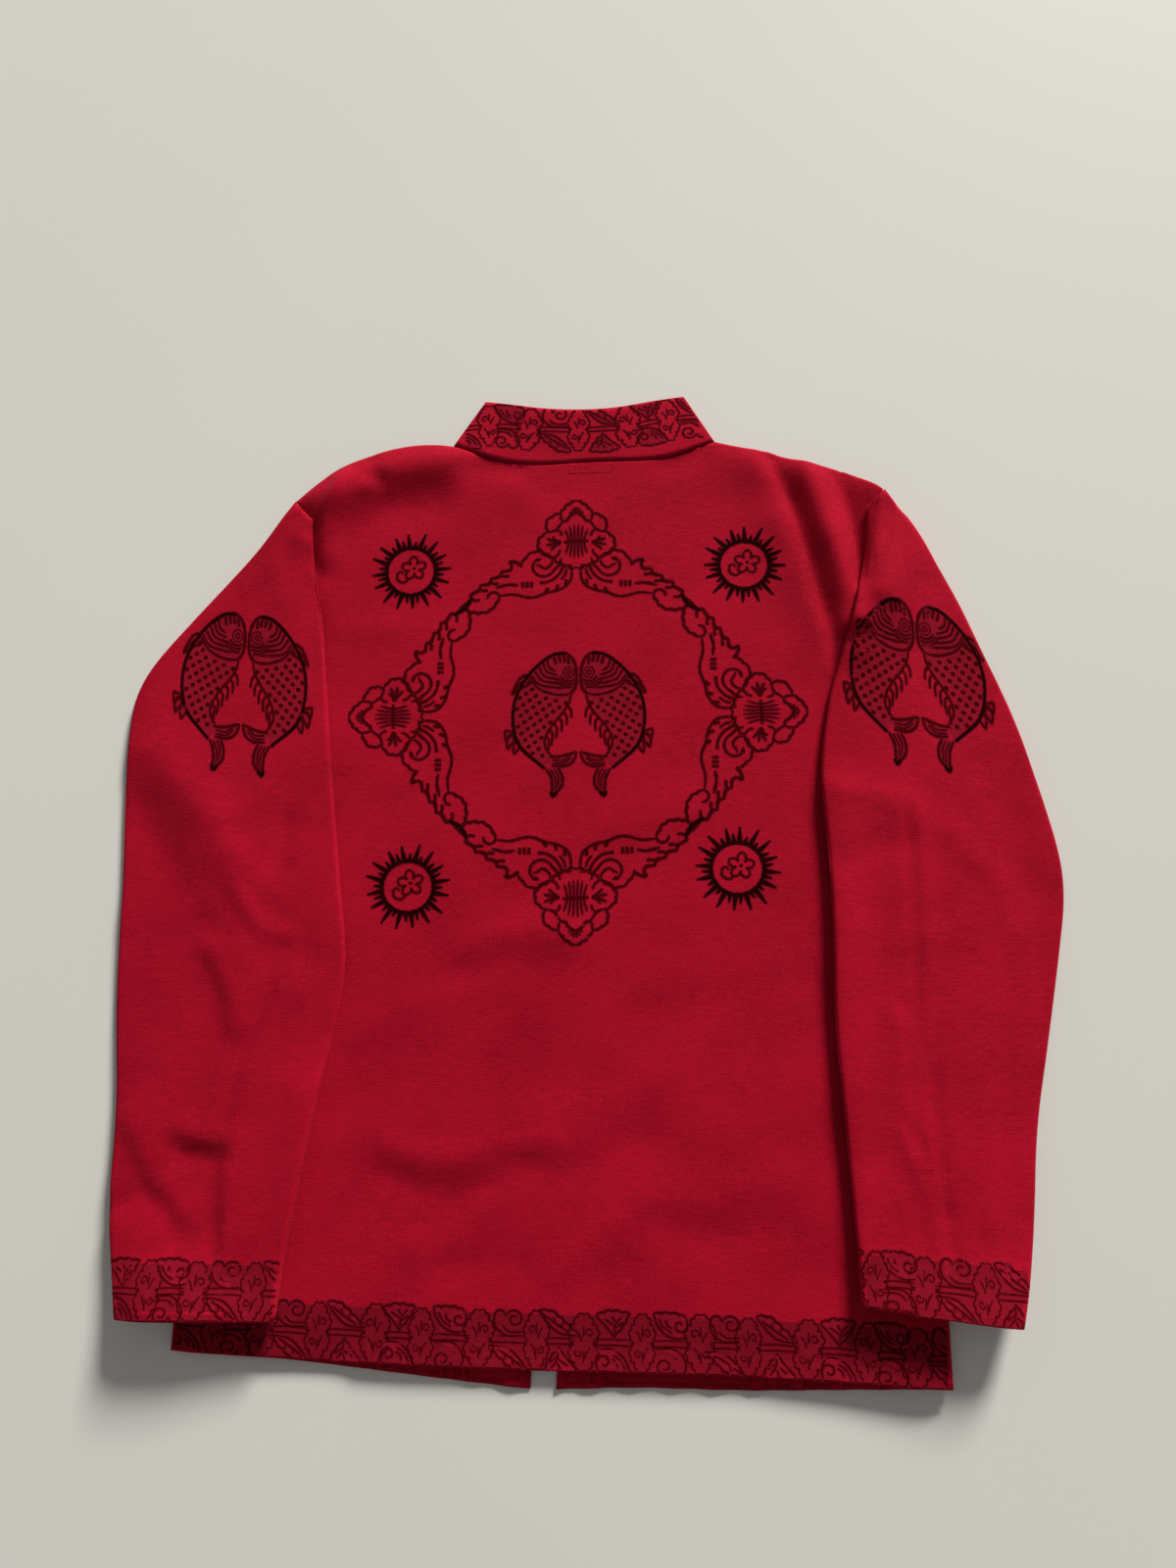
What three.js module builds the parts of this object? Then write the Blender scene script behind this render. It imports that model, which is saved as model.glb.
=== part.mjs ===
// A cotton tang jacket laid face down on a flat surface, with its back on top and its sleeves
// brought down over its sides. Every cut piece is a wall of cloth of its own: the back, the two
// fronts, the two sleeves and the stand collar. Millimetres; +Z is up, +Y points to the collar,
// and the origin is under the middle of the jacket, on the surface that it lies on.
import * as THREE from "three";

// ---------------------------------------------------------------- driving dimensions
const CLOTH = 1.2; // wall of one layer of the cotton
const COLLAR_CLOTH = 1.8; // the stand collar is two layers of cotton with an interlining
const SEAM_GAP = 0.3; // between two pieces where they are sewn together
const LAYER_GAP = 0.8; // between a sleeve and the back that it lies on
const HOLLOW = 2.6; // air between the back and the fronts, away from the sewn edges
const EDGE_HOLLOW = 0.12; // and at the sewn edges, on top of the seam gap
const EDGE_ROLL = 16; // how far in from a sewn edge the back has risen to its height
const SHOULDER_LIFT = 3.2; // how far the shoulder seams stand off the surface
const SHOULDER_LIFT_REACH = 18; // and how soon the cloth beside them comes down
const SLEEVE_LAP = 3.2; // the least that a sleeve's inner fold reaches past the armhole seam
const UNDER_DROP = 18; // the under layer of a sleeve falls off the side of the body in this
const OVER_DROP = 75; // and the upper layer in this
const UNDERARM_OUT = 2.6; // the underarm seam hangs this far outside the side of the body
const UNDERARM_MERGE = 48; // above the underarm, the armhole edges come together over this
const FOLD_ROUNDNESS = 0.62; // depth of a folded edge, as a share of its height
const COLLAR_CROWN = 2; // how far the middle of the collar's back half stands up
const COLLAR_HOLLOW = 0.8; // air between the two halves of the collar at its free edge
const SLEEVE_REST = 0.1; // a sleeve's under layer stands this much off the surface
const CRIMSON = "#b0122f";

// ---------------------------------------------------------------- outlines, seen from above
// x runs to the right, y to the collar. The middle of the jacket leans a little to the left.
const BACK_HEM = [
  { x: -289, y: -352 },
  { x: -200, y: -357 },
  { x: -83, y: -361 },
  { x: 32, y: -363 },
  { x: 139, y: -365 },
  { x: 253, y: -370 },
];
const LEFT_SIDE = [
  { x: -289, y: -352 },
  { x: -284, y: -150 },
  { x: -277, y: 62 },
];
const RIGHT_SIDE = [
  { x: 253, y: -370 },
  { x: 255, y: -150 },
  { x: 258, y: 55 },
];
const LEFT_ARMHOLE = [
  { x: -277, y: 62 },
  { x: -254, y: 76 },
  { x: -230, y: 102 },
  { x: -214, y: 140 },
  { x: -209, y: 178 },
  { x: -213, y: 205 },
  { x: -218, y: 232 },
  { x: -219, y: 262 },
  { x: -224, y: 280 },
  { x: -232, y: 289 },
];
const RIGHT_ARMHOLE = [
  { x: 258, y: 55 },
  { x: 240, y: 74 },
  { x: 226, y: 103 },
  { x: 217, y: 135 },
  { x: 215, y: 165 },
  { x: 219, y: 195 },
  { x: 224, y: 222 },
  { x: 228, y: 250 },
  { x: 230, y: 272 },
  { x: 238, y: 286 },
];
const LEFT_SHOULDER = [
  { x: -232, y: 289 },
  { x: -201, y: 315 },
  { x: -172, y: 328 },
  { x: -146, y: 335 },
  { x: -122, y: 337 },
  { x: -104, y: 335 },
];
const RIGHT_SHOULDER = [
  { x: 238, y: 286 },
  { x: 222, y: 298 },
  { x: 204, y: 306 },
  { x: 186, y: 310 },
  { x: 171, y: 311.5 },
  { x: 160, y: 319 },
  { x: 150, y: 324 },
  { x: 134, y: 326 },
  { x: 107, y: 333 },
];
const BACK_NECK = [
  { x: -104, y: 335 },
  { x: -74, y: 323 },
  { x: -38, y: 317 },
  { x: 10, y: 319 },
  { x: 68, y: 320 },
  { x: 107, y: 333 },
];
const LEFT_FRONT_NECK = [
  { x: -104, y: 335 },
  { x: -98, y: 303 },
  { x: -77, y: 277 },
  { x: -42, y: 263 },
  { x: -8, y: 259 },
];
const RIGHT_FRONT_NECK = [
  { x: 107, y: 333 },
  { x: 101, y: 301 },
  { x: 79, y: 275 },
  { x: 43, y: 262 },
  { x: 7, y: 259 },
];
const LEFT_FRONT_EDGE = [
  { x: -35, y: -375 },
  { x: -24, y: -120 },
  { x: -8, y: 259 },
];
const RIGHT_FRONT_EDGE = [
  { x: -17, y: -375 },
  { x: -8, y: -120 },
  { x: 7, y: 259 },
];
const LEFT_FRONT_HEM = [
  { x: -289, y: -352 },
  { x: -205, y: -358 },
  { x: -146, y: -364 },
  { x: -77, y: -371 },
  { x: -35, y: -375 },
];
const RIGHT_FRONT_HEM = [
  { x: 253, y: -370 },
  { x: 187, y: -372 },
  { x: 113, y: -374 },
  { x: 39, y: -373 },
  { x: -17, y: -375 },
];

// ---------------------------------------------------------------- sleeves
// Sections across a sleeve, from the top of its cap to its cuff. down is the way down the
// sleeve, inner and outer are its two folded edges, loft is the air inside, and rise lifts the
// outer edge off the surface.
const LEFT_SLEEVE = [
  { down: 0, innerX: -216.5, innerY: 271.9, outerX: -233.6, outerY: 288.6, loft: 0.6, rise: 0 },
  { down: 24, innerX: -216, innerY: 248, outerX: -260, outerY: 249, loft: 1.2, rise: 0 },
  { down: 50, innerX: -213, innerY: 222, outerX: -283, outerY: 222, loft: 2.2, rise: 0 },
  { down: 82, innerX: -206, innerY: 190, outerX: -310, outerY: 190, loft: 3, rise: 0 },
  { down: 117, innerX: -202, innerY: 155, outerX: -339, outerY: 155, loft: 3.4, rise: 0 },
  { down: 142, innerX: -199, innerY: 130, outerX: -352, outerY: 130, loft: 3.6, rise: 0 },
  { down: 172, innerX: -196, innerY: 100, outerX: -355, outerY: 100, loft: 3.6, rise: 0 },
  { down: 210, innerX: -192, innerY: 62, outerX: -355, outerY: 62, loft: 3.6, rise: 0 },
  { down: 252, innerX: -187, innerY: 20, outerX: -353, outerY: 20, loft: 3.6, rise: 0 },
  { down: 303, innerX: -181, innerY: -31, outerX: -350.5, outerY: -33, loft: 3.6, rise: 0 },
  { down: 352, innerX: -175, innerY: -80, outerX: -350, outerY: -80, loft: 3.6, rise: 0 },
  { down: 390, innerX: -179, innerY: -115, outerX: -348, outerY: -122, loft: 3.6, rise: 0 },
  { down: 454, innerX: -192, innerY: -180, outerX: -342, outerY: -184, loft: 3.6, rise: 1 },
  { down: 514, innerX: -203, innerY: -242, outerX: -341, outerY: -242, loft: 3.4, rise: 3 },
  { down: 558, innerX: -210, innerY: -286, outerX: -336, outerY: -285, loft: 3.2, rise: 6 },
  { down: 602, innerX: -213, innerY: -330, outerX: -326, outerY: -329, loft: 3, rise: 8 },
];
const RIGHT_SLEEVE = [
  { down: 0, innerX: 225.4, innerY: 272.4, outerX: 240.2, outerY: 285.4, loft: 0.6, rise: 0 },
  { down: 24, innerX: 224.5, innerY: 247, outerX: 265, outerY: 249, loft: 1.8, rise: 0 },
  { down: 49, innerX: 220, innerY: 222, outerX: 279, outerY: 222, loft: 3, rise: 0 },
  { down: 81, innerX: 212, innerY: 190, outerX: 294, outerY: 190, loft: 3.6, rise: 0 },
  { down: 116, innerX: 202, innerY: 155, outerX: 307, outerY: 155, loft: 3.8, rise: 0 },
  { down: 149, innerX: 191, innerY: 122, outerX: 320, outerY: 122, loft: 3.8, rise: 0 },
  { down: 181, innerX: 185, innerY: 90, outerX: 331, outerY: 90, loft: 3.8, rise: 0 },
  { down: 215, innerX: 181, innerY: 56, outerX: 340, outerY: 56, loft: 3.8, rise: 0 },
  { down: 256, innerX: 183, innerY: 15, outerX: 350, outerY: 15, loft: 3.8, rise: 0 },
  { down: 296, innerX: 185, innerY: -25, outerX: 355.6, outerY: -25, loft: 3.8, rise: 0 },
  { down: 346, innerX: 185, innerY: -75, outerX: 348, outerY: -75, loft: 3.8, rise: 0 },
  { down: 400, innerX: 184, innerY: -128, outerX: 337, outerY: -129, loft: 3.8, rise: 1 },
  { down: 469, innerX: 188, innerY: -196, outerX: 322, outerY: -199, loft: 3.6, rise: 3 },
  { down: 524, innerX: 191, innerY: -250, outerX: 315, outerY: -255, loft: 3.4, rise: 6 },
  { down: 567, innerX: 193, innerY: -291, outerX: 308, outerY: -299, loft: 3.2, rise: 8 },
  { down: 594, innerX: 193, innerY: -316, outerX: 299, outerY: -328, loft: 3, rise: 9 },
];

// ---------------------------------------------------------------- collar
// Its free edge, over the back half, and over the front halves that lie under it. The foot
// runs along the neck.
const COLLAR_BACK_TOP = [
  { x: -79, y: 374.5 },
  { x: -56, y: 371 },
  { x: -30, y: 366.5 },
  { x: 2, y: 364.5 },
  { x: 30, y: 366 },
  { x: 58, y: 371 },
  { x: 83, y: 374.5 },
];
const COLLAR_LEFT_TOP = [
  { x: -79, y: 374.5 },
  { x: -61, y: 347 },
  { x: -44, y: 324 },
  { x: -27, y: 309 },
  { x: -8, y: 303 },
];
const COLLAR_RIGHT_TOP = [
  { x: 83, y: 374.5 },
  { x: 65, y: 346 },
  { x: 47, y: 323 },
  { x: 28, y: 309 },
  { x: 8, y: 303 },
];

// ---------------------------------------------------------------- folds
// Each is a soft ridge (or trough, where its height is below 0) from one point to another,
// with its half width. The ones on the sleeves are in the upper layer only.
const BACK_FOLDS = [
  { x1: -222, y1: 266, x2: -200, y2: 298, width: 17, height: 5.5 },
  { x1: -200, y1: 298, x2: -112, y2: 320, width: 17, height: 6 },
  { x1: 145, y1: 318, x2: 157, y2: 258, width: 13, height: 4.5 },
  { x1: 157, y1: 258, x2: 187, y2: 172, width: 12, height: 3.5 },
  { x1: 182, y1: 298, x2: 205, y2: 212, width: 12, height: 4.5 },
  { x1: -135, y1: -214, x2: -60, y2: -216, width: 13, height: 2.6 },
  { x1: -146, y1: -240, x2: -84, y2: -248, width: 13, height: -1.6 },
  { x1: -60, y1: -216, x2: 10, y2: -204, width: 15, height: 2 },
  { x1: -70, y1: -190, x2: 60, y2: -176, width: 18, height: 1.4 },
  { x1: -95, y1: -58, x2: -2, y2: -50, width: 18, height: 1.8 },
  { x1: 20, y1: -262, x2: 150, y2: -240, width: 20, height: 1.6 },
  { x1: -28, y1: -250, x2: -14, y2: -322, width: 18, height: 1.6 },
];
const LEFT_SLEEVE_FOLDS = [
  { x1: -243, y1: -106, x2: -262, y2: -200, width: 14, height: 2.8 },
  { x1: -218, y1: -96, x2: -250, y2: -212, width: 11, height: -1.8 },
  { x1: -326, y1: -196, x2: -272, y2: -270, width: 13, height: -1.8 },
  { x1: -328, y1: 76, x2: -258, y2: -20, width: 20, height: 2.6 },
  { x1: -300, y1: -70, x2: -262, y2: -128, width: 16, height: -1.4 },
];
const RIGHT_SLEEVE_FOLDS = [
  { x1: 268, y1: 240, x2: 228, y2: 178, width: 13, height: 2.6 },
  { x1: 246, y1: 34, x2: 238, y2: -110, width: 12, height: 1.5 },
  { x1: 222, y1: -120, x2: 240, y2: -220, width: 12, height: 1.5 },
  { x1: 205, y1: -150, x2: 208, y2: -260, width: 11, height: 1.2 },
];
// Where the hem stands off the surface, with the reach of the lift round that point.
const HEM_LIFTS = [
  { x: 253, y: -370, reach: 70, height: 5.5 },
  { x: -289, y: -352, reach: 60, height: 3.5 },
];

// ---------------------------------------------------------------- how finely it is divided
const SHOULDER_COLUMNS = 9; // of the back, over each shoulder
const NECK_COLUMNS = 12; // of the back and the collar, along the back of the neck
const FRONT_SHOULDER_COLUMNS = 4;
const FRONT_NECK_COLUMNS = 6; // of a front and the collar, along the front of the neck
const SIDE_ROWS = 16; // from the hem to the underarm
const ARMHOLE_ROWS = 13; // from the underarm to the shoulder
const CAP_RINGS = 12; // of a sleeve, from its cap to the underarm
const SLEEVE_RINGS = 16; // and from there to the cuff
const RING = { underInner: 4, fold: 6, over: 9, underOuter: 6 };
const SEAM_FINENESS = 1.7; // the under layer's points draw closer to the armhole by this power
const COLLAR_FOLD_COLUMNS = 6;
const COLLAR_ROWS = 3;
const SLOPE_STEP = 0.5; // of the finite differences that give a surface's slope
const BISECTIONS = 20;

// ---------------------------------------------------------------- curves
const lerp = (a, b, t) => a + (b - a) * t;
const clamp01 = (t) => Math.min(1, Math.max(0, t));
const smooth = (t) => clamp01(t) ** 2 * (3 - 2 * clamp01(t));
const bell = (d, width) => Math.exp(-((d / width) ** 2));
const softMax = (a, b, blend) => 0.5 * (a + b + Math.hypot(a - b, blend));

// A smooth curve through the rows of a table. It gives every column at a value of the column
// named along.
function through(rows, along) {
  const keys = Object.keys(rows[0]);
  const slope = (i, key) => {
    const a = rows[Math.max(0, i - 1)];
    const b = rows[Math.min(rows.length - 1, i + 1)];
    return (b[key] - a[key]) / (b[along] - a[along]);
  };
  return (at) => {
    let i = 0;
    while (i < rows.length - 2 && at > rows[i + 1][along]) i++;
    const span = rows[i + 1][along] - rows[i][along];
    const s = (at - rows[i][along]) / span;
    const value = {};
    for (const key of keys)
      value[key] =
        (1 + 2 * s) * (1 - s) ** 2 * rows[i][key] +
        s * (1 - s) ** 2 * span * slope(i, key) +
        s * s * (3 - 2 * s) * rows[i + 1][key] +
        s * s * (s - 1) * span * slope(i + 1, key);
    return value;
  };
}

// An outline as a smooth curve, from 0 at its first point to 1 at its last.
function outline(points) {
  let length = 0;
  const rows = points.map((p, i) => {
    if (i) length += Math.hypot(p.x - points[i - 1].x, p.y - points[i - 1].y);
    return { ...p, length };
  });
  const value = through(rows, "length");
  return (t) => value(t * length);
}

const steps = (count) => Array.from({ length: count + 1 }, (_, i) => i / count);
const sample = (points, ts) => ts.map(outline(points));
const joined = (...lists) => lists.flatMap((list, i) => list.slice(i ? 1 : 0));

// Steps that are finer towards both ends, or towards the last one.
const fineEnds = (count) =>
  steps(count).map((t) => t - Math.sin(2 * Math.PI * t) / (4 * Math.PI));
const fineLast = (count) => steps(count).map((t) => 1 - (1 - t) ** 1.35);

function distanceTo(line, x, y) {
  let best = Infinity;
  for (let i = 1; i < line.length; i++) {
    const a = line[i - 1];
    const dx = line[i].x - a.x;
    const dy = line[i].y - a.y;
    const t = clamp01(((x - a.x) * dx + (y - a.y) * dy) / (dx * dx + dy * dy));
    best = Math.min(best, Math.hypot(x - a.x - t * dx, y - a.y - t * dy));
  }
  return best;
}

// x of a line that climbs all the way, at the height y.
function xAt(line, y) {
  let i = 1;
  while (i < line.length - 1 && y > line[i].y) i++;
  const a = line[i - 1];
  const b = line[i];
  return lerp(a.x, b.x, (y - a.y) / (b.y - a.y));
}

// The value at which a falling test turns false, between two values.
function turningPoint(from, to, holds) {
  let near = from;
  let far = to;
  for (let i = 0; i < BISECTIONS; i++) {
    const middle = (near + far) / 2;
    if (holds(middle)) near = middle;
    else far = middle;
  }
  return near;
}

// ---------------------------------------------------------------- edges of the body
// The back and the front of each side are cut alike from the hem to the shoulder, so both
// panels and the sleeve use the same points.
const LEFT = -1;
const RIGHT = 1;
const bodyEdge = (side, armhole) =>
  joined(sample(side, steps(SIDE_ROWS)), sample(armhole, fineLast(ARMHOLE_ROWS)));
const EDGES = {
  [LEFT]: bodyEdge(LEFT_SIDE, LEFT_ARMHOLE),
  [RIGHT]: bodyEdge(RIGHT_SIDE, RIGHT_ARMHOLE),
};
const SHOULDERS = [LEFT_SHOULDER, RIGHT_SHOULDER].map((line) =>
  sample(line, steps(2 * SHOULDER_COLUMNS)),
);

// How far a point is inside one side's edge of the body; below 0 outside it.
function inside(side, x, y) {
  const line = EDGES[side];
  const sign = (xAt(line, y) - x) * side >= 0 ? 1 : -1;
  return sign * distanceTo(line, x, y);
}

// ---------------------------------------------------------------- heights of the layers
function folds(table, x, y) {
  let sum = 0;
  for (const f of table) {
    const line = [
      { x: f.x1, y: f.y1 },
      { x: f.x2, y: f.y2 },
    ];
    sum += f.height * bell(distanceTo(line, x, y), f.width);
  }
  return sum;
}

// How far the cloth stands off the surface, at the shoulders and at the hem's corners.
function lift(x, y) {
  const shoulder = Math.min(...SHOULDERS.map((line) => distanceTo(line, x, y)));
  let height = SHOULDER_LIFT * bell(shoulder, SHOULDER_LIFT_REACH);
  for (const h of HEM_LIFTS)
    height += h.height * bell(Math.hypot(x - h.x, y - h.y), h.reach);
  return height;
}

// Each of these is the height of the middle of a wall.
const frontHeight = (x, y) => lift(x, y) + CLOTH / 2;

const backAtSeam = (x, y) => frontHeight(x, y) + CLOTH + SEAM_GAP + EDGE_HOLLOW;

function backHeight(x, y) {
  const fromEdge = Math.min(
    inside(LEFT, x, y),
    inside(RIGHT, x, y),
    ...SHOULDERS.map((line) => distanceTo(line, x, y)),
  );
  const t = clamp01(fromEdge / EDGE_ROLL);
  const hollow = (HOLLOW + folds(BACK_FOLDS, x, y)) * t * (2 - t);
  return backAtSeam(x, y) + softMax(hollow, 0, EDGE_HOLLOW);
}

// What a wall takes up, measured upright, where a surface slopes.
function upright(height, x, y) {
  const dx = height(x + SLOPE_STEP, y) - height(x - SLOPE_STEP, y);
  const dy = height(x, y + SLOPE_STEP) - height(x, y - SLOPE_STEP);
  return CLOTH * Math.hypot(1, dx / (2 * SLOPE_STEP), dy / (2 * SLOPE_STEP));
}

const sleeveFloor = (x, y) => frontHeight(x, y) + SLEEVE_REST;

// The under layer of a sleeve lies on the back, and drops off its side to the surface.
function underHeight(side, x, y) {
  const d = inside(side, x, y);
  if (d >= 0) return backHeight(x, y) + upright(backHeight, x, y) + LAYER_GAP;
  const edge = backAtSeam(x, y) + EDGE_HOLLOW / 2 + CLOTH + LAYER_GAP;
  return lerp(edge, sleeveFloor(x, y), smooth(-d / UNDER_DROP));
}

// The upper layer lies over that, with the sleeve's air between them.
function overHeight(side, x, y, loft) {
  const d = inside(side, x, y);
  const edge = backAtSeam(x, y) + CLOTH + LAYER_GAP + HOLLOW / 2;
  const base =
    d >= 0
      ? lerp(edge, underHeight(side, x, y), clamp01(d / EDGE_ROLL))
      : lerp(edge, sleeveFloor(x, y), smooth(-d / OVER_DROP));
  const table = side === LEFT ? LEFT_SLEEVE_FOLDS : RIGHT_SLEEVE_FOLDS;
  return base + CLOTH + softMax(loft + folds(table, x, y), SEAM_GAP, SEAM_GAP);
}

// ---------------------------------------------------------------- walls
// A wall of cloth from a grid of points on its middle, moved half its thickness to either
// side. From the row closedFrom on, the last column is the first one, as where a sleeve is
// closed under the arm.
function wall(grid, thickness, closedFrom = Infinity) {
  const lastRow = grid.length - 1;
  const lastColumn = grid[0].length - 1;
  const closed = (i) => i >= closedFrom;
  const between = (a, b) => new THREE.Vector3(b.x - a.x, b.y - a.y, b.z - a.z);
  const normal = (i, j) => {
    const row = grid[i];
    const seam = closed(i) && (j === 0 || j === lastColumn);
    const before = seam ? row[lastColumn - 1] : row[Math.max(0, j - 1)];
    const after = seam ? row[1] : row[Math.min(lastColumn, j + 1)];
    const along = between(grid[Math.max(0, i - 1)][j], grid[Math.min(lastRow, i + 1)][j]);
    return between(before, after).cross(along).normalize();
  };
  const positions = [];
  const add = (p, n, offset) => {
    positions.push(p.x + n.x * offset, p.y + n.y * offset, p.z + n.z * offset);
    return positions.length / 3 - 1;
  };
  const outer = [];
  const inner = [];
  grid.forEach((row, i) => {
    outer.push([]);
    inner.push([]);
    row.forEach((p, j) => {
      const again = closed(i) && j === lastColumn;
      const n = normal(i, j);
      outer[i].push(again ? outer[i][0] : add(p, n, thickness / 2));
      inner[i].push(again ? inner[i][0] : add(p, n, -thickness / 2));
    });
  });

  const index = [];
  const quad = (a, b, c, d) => index.push(a, b, c, a, c, d);
  for (let i = 0; i < lastRow; i++)
    for (let j = 0; j < lastColumn; j++) {
      quad(outer[i][j], outer[i][j + 1], outer[i + 1][j + 1], outer[i + 1][j]);
      quad(inner[i][j], inner[i + 1][j], inner[i + 1][j + 1], inner[i][j + 1]);
    }
  for (let j = 0; j < lastColumn; j++) {
    quad(outer[0][j], inner[0][j], inner[0][j + 1], outer[0][j + 1]);
    const [topEdge, underEdge] = [outer[lastRow], inner[lastRow]];
    quad(topEdge[j], topEdge[j + 1], underEdge[j + 1], underEdge[j]);
  }
  for (let i = 0; i < lastRow && !closed(i); i++) {
    quad(outer[i][0], outer[i + 1][0], inner[i + 1][0], inner[i][0]);
    quad(
      outer[i][lastColumn],
      inner[i][lastColumn],
      inner[i + 1][lastColumn],
      outer[i + 1][lastColumn],
    );
  }
  const geometry = new THREE.BufferGeometry();
  geometry.setAttribute("position", new THREE.Float32BufferAttribute(positions, 3));
  geometry.setIndex(index);
  return geometry;
}

// A panel between four outlines, each a list of points: its rows climb from bottom to top and
// its columns run from first to last. across says how far over each column is.
function panel(bottom, top, first, last, across, height) {
  const end = bottom.length - 1;
  return first.map((start, i) => {
    const v = i / (first.length - 1);
    return bottom.map((foot, j) => {
      const u = across[j];
      const mix = (key) =>
        lerp(foot[key], top[j][key], v) +
        lerp(start[key], last[i][key], u) -
        lerp(
          lerp(bottom[0][key], bottom[end][key], u),
          lerp(top[0][key], top[end][key], u),
          v,
        );
      const x = mix("x");
      const y = mix("y");
      return { x, y, z: height(x, y) };
    });
  });
}

// A stretch of a row of steps, spread over 0 to 1.
const stretch = (ts, from, to) =>
  ts.slice(from, to + 1).map((t) => (t - ts[from]) / (ts[to] - ts[from]));

// ---------------------------------------------------------------- body
function back() {
  const neck = SHOULDER_COLUMNS + NECK_COLUMNS;
  const end = neck + SHOULDER_COLUMNS;
  const across = fineEnds(end);
  const top = joined(
    sample(LEFT_SHOULDER, stretch(across, 0, SHOULDER_COLUMNS)),
    sample(BACK_NECK, steps(NECK_COLUMNS)),
    sample([...RIGHT_SHOULDER].reverse(), stretch(across, neck, end)),
  );
  const hem = sample(BACK_HEM, across);
  return wall(panel(hem, top, EDGES[LEFT], EDGES[RIGHT], across, backHeight), CLOTH);
}

function front(side, shoulder, neck, centreEdge, hem) {
  const across = steps(FRONT_SHOULDER_COLUMNS + FRONT_NECK_COLUMNS);
  const top = joined(
    sample(shoulder, steps(FRONT_SHOULDER_COLUMNS)),
    sample(neck, steps(FRONT_NECK_COLUMNS)),
  );
  const centre = sample(centreEdge, steps(EDGES[side].length - 1));
  const bottom = sample(hem, across);
  const grid = panel(bottom, top, EDGES[side], centre, across, frontHeight);
  return wall(side === LEFT ? grid : grid.map((row) => row.reverse()), CLOTH);
}

// ---------------------------------------------------------------- sleeves
// One ring of a sleeve. It starts at the back's armhole, runs in under the sleeve to its inner
// fold, over the top to its outer fold, and back under it to the front's armhole. merged goes
// from 0, high in the armhole, to 1 at the underarm and below, where both ends are one seam.
function sleeveRing(side, section, merged) {
  const inner = { x: section.innerX, y: section.innerY };
  const outer = { x: section.outerX, y: section.outerY };
  const width = Math.hypot(outer.x - inner.x, outer.y - inner.y);
  const at = (s) => [lerp(inner.x, outer.x, s / width), lerp(inner.y, outer.y, s / width)];
  const under = (s) => underHeight(side, ...at(s));
  const over = (s) => overHeight(side, ...at(s), section.loft);
  const foldDepth = (s) => Math.min(FOLD_ROUNDNESS * (over(s) - under(s)), width / 3);
  const innerFold = foldDepth(0);
  const outerFold = foldDepth(width);

  const armhole = turningPoint(0, width, (s) => inside(side, ...at(s)) > 0);
  const hang = UNDERARM_OUT * merged;
  const backEnd = Math.max(armhole + hang, SLEEVE_LAP, innerFold + SEAM_GAP);
  const frontEnd = Math.max(armhole + Math.max(hang, 2 * SEAM_GAP), backEnd);

  // A point of the upper or the under layer. Both come together in the folded edges.
  const point = (s, upper, onBack = 1) => {
    const [x, y] = at(s);
    const low = lerp(sleeveFloor(x, y), under(s), onBack);
    const high = over(s);
    const open = Math.sqrt(
      (1 - (1 - clamp01(s / innerFold)) ** 2) *
        (1 - (1 - clamp01((width - s) / outerFold)) ** 2),
    );
    const z = (low + high + (upper ? 1 : -1) * open * (high - low)) / 2;
    return { x, y, z: z + section.rise * smooth(s / width) };
  };
  const turn = (i) => 1 - Math.sin((Math.PI * i) / RING.fold);
  const ring = [];
  for (let i = 0; i < RING.underInner; i++) {
    const t = (i / RING.underInner) ** SEAM_FINENESS;
    ring.push(point(lerp(backEnd, innerFold, t), false));
  }
  for (let i = 0; i <= RING.fold; i++)
    ring.push(point(innerFold * turn(i), i > RING.fold / 2));
  for (let i = 1; i < RING.over; i++)
    ring.push(point(lerp(innerFold, width - outerFold, i / RING.over), true));
  for (let i = 0; i <= RING.fold; i++)
    ring.push(point(width - outerFold * turn(i), i < RING.fold / 2, merged));
  for (let i = 1; i <= RING.underOuter; i++) {
    const s = lerp(width - outerFold, frontEnd, i / RING.underOuter);
    ring.push(point(s, false, merged));
  }
  return ring;
}

function sleeve(side, table, underarm) {
  const section = through(table, "down");
  const cuff = table[table.length - 1].down;
  const split = turningPoint(0, cuff, (down) => section(down).innerY > underarm.y);
  const cap = steps(CAP_RINGS).map((t) => split * t ** 1.2);
  const arm = steps(SLEEVE_RINGS).map((t) => lerp(split, cuff, t));
  const grid = joined(cap, arm).map((down) => {
    const merged = 1 - smooth((split - down) / UNDERARM_MERGE);
    const ring = sleeveRing(side, section(down), merged);
    return side === LEFT ? ring : ring.reverse();
  });
  return wall(grid, CLOTH, CAP_RINGS);
}

// ---------------------------------------------------------------- collar
// A column of the collar from its foot, at the neck, to its free edge.
function collarColumn(foot, top, footHeight, topHeight) {
  const length = Math.hypot(top.x - foot.x, top.y - foot.y);
  return steps(COLLAR_ROWS).map((t) => {
    const along = lerp(2 * SEAM_GAP, length, t) / length;
    return {
      x: lerp(foot.x, top.x, along),
      y: lerp(foot.y, top.y, along),
      z: lerp(footHeight, topHeight, smooth(t)),
    };
  });
}

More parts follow.
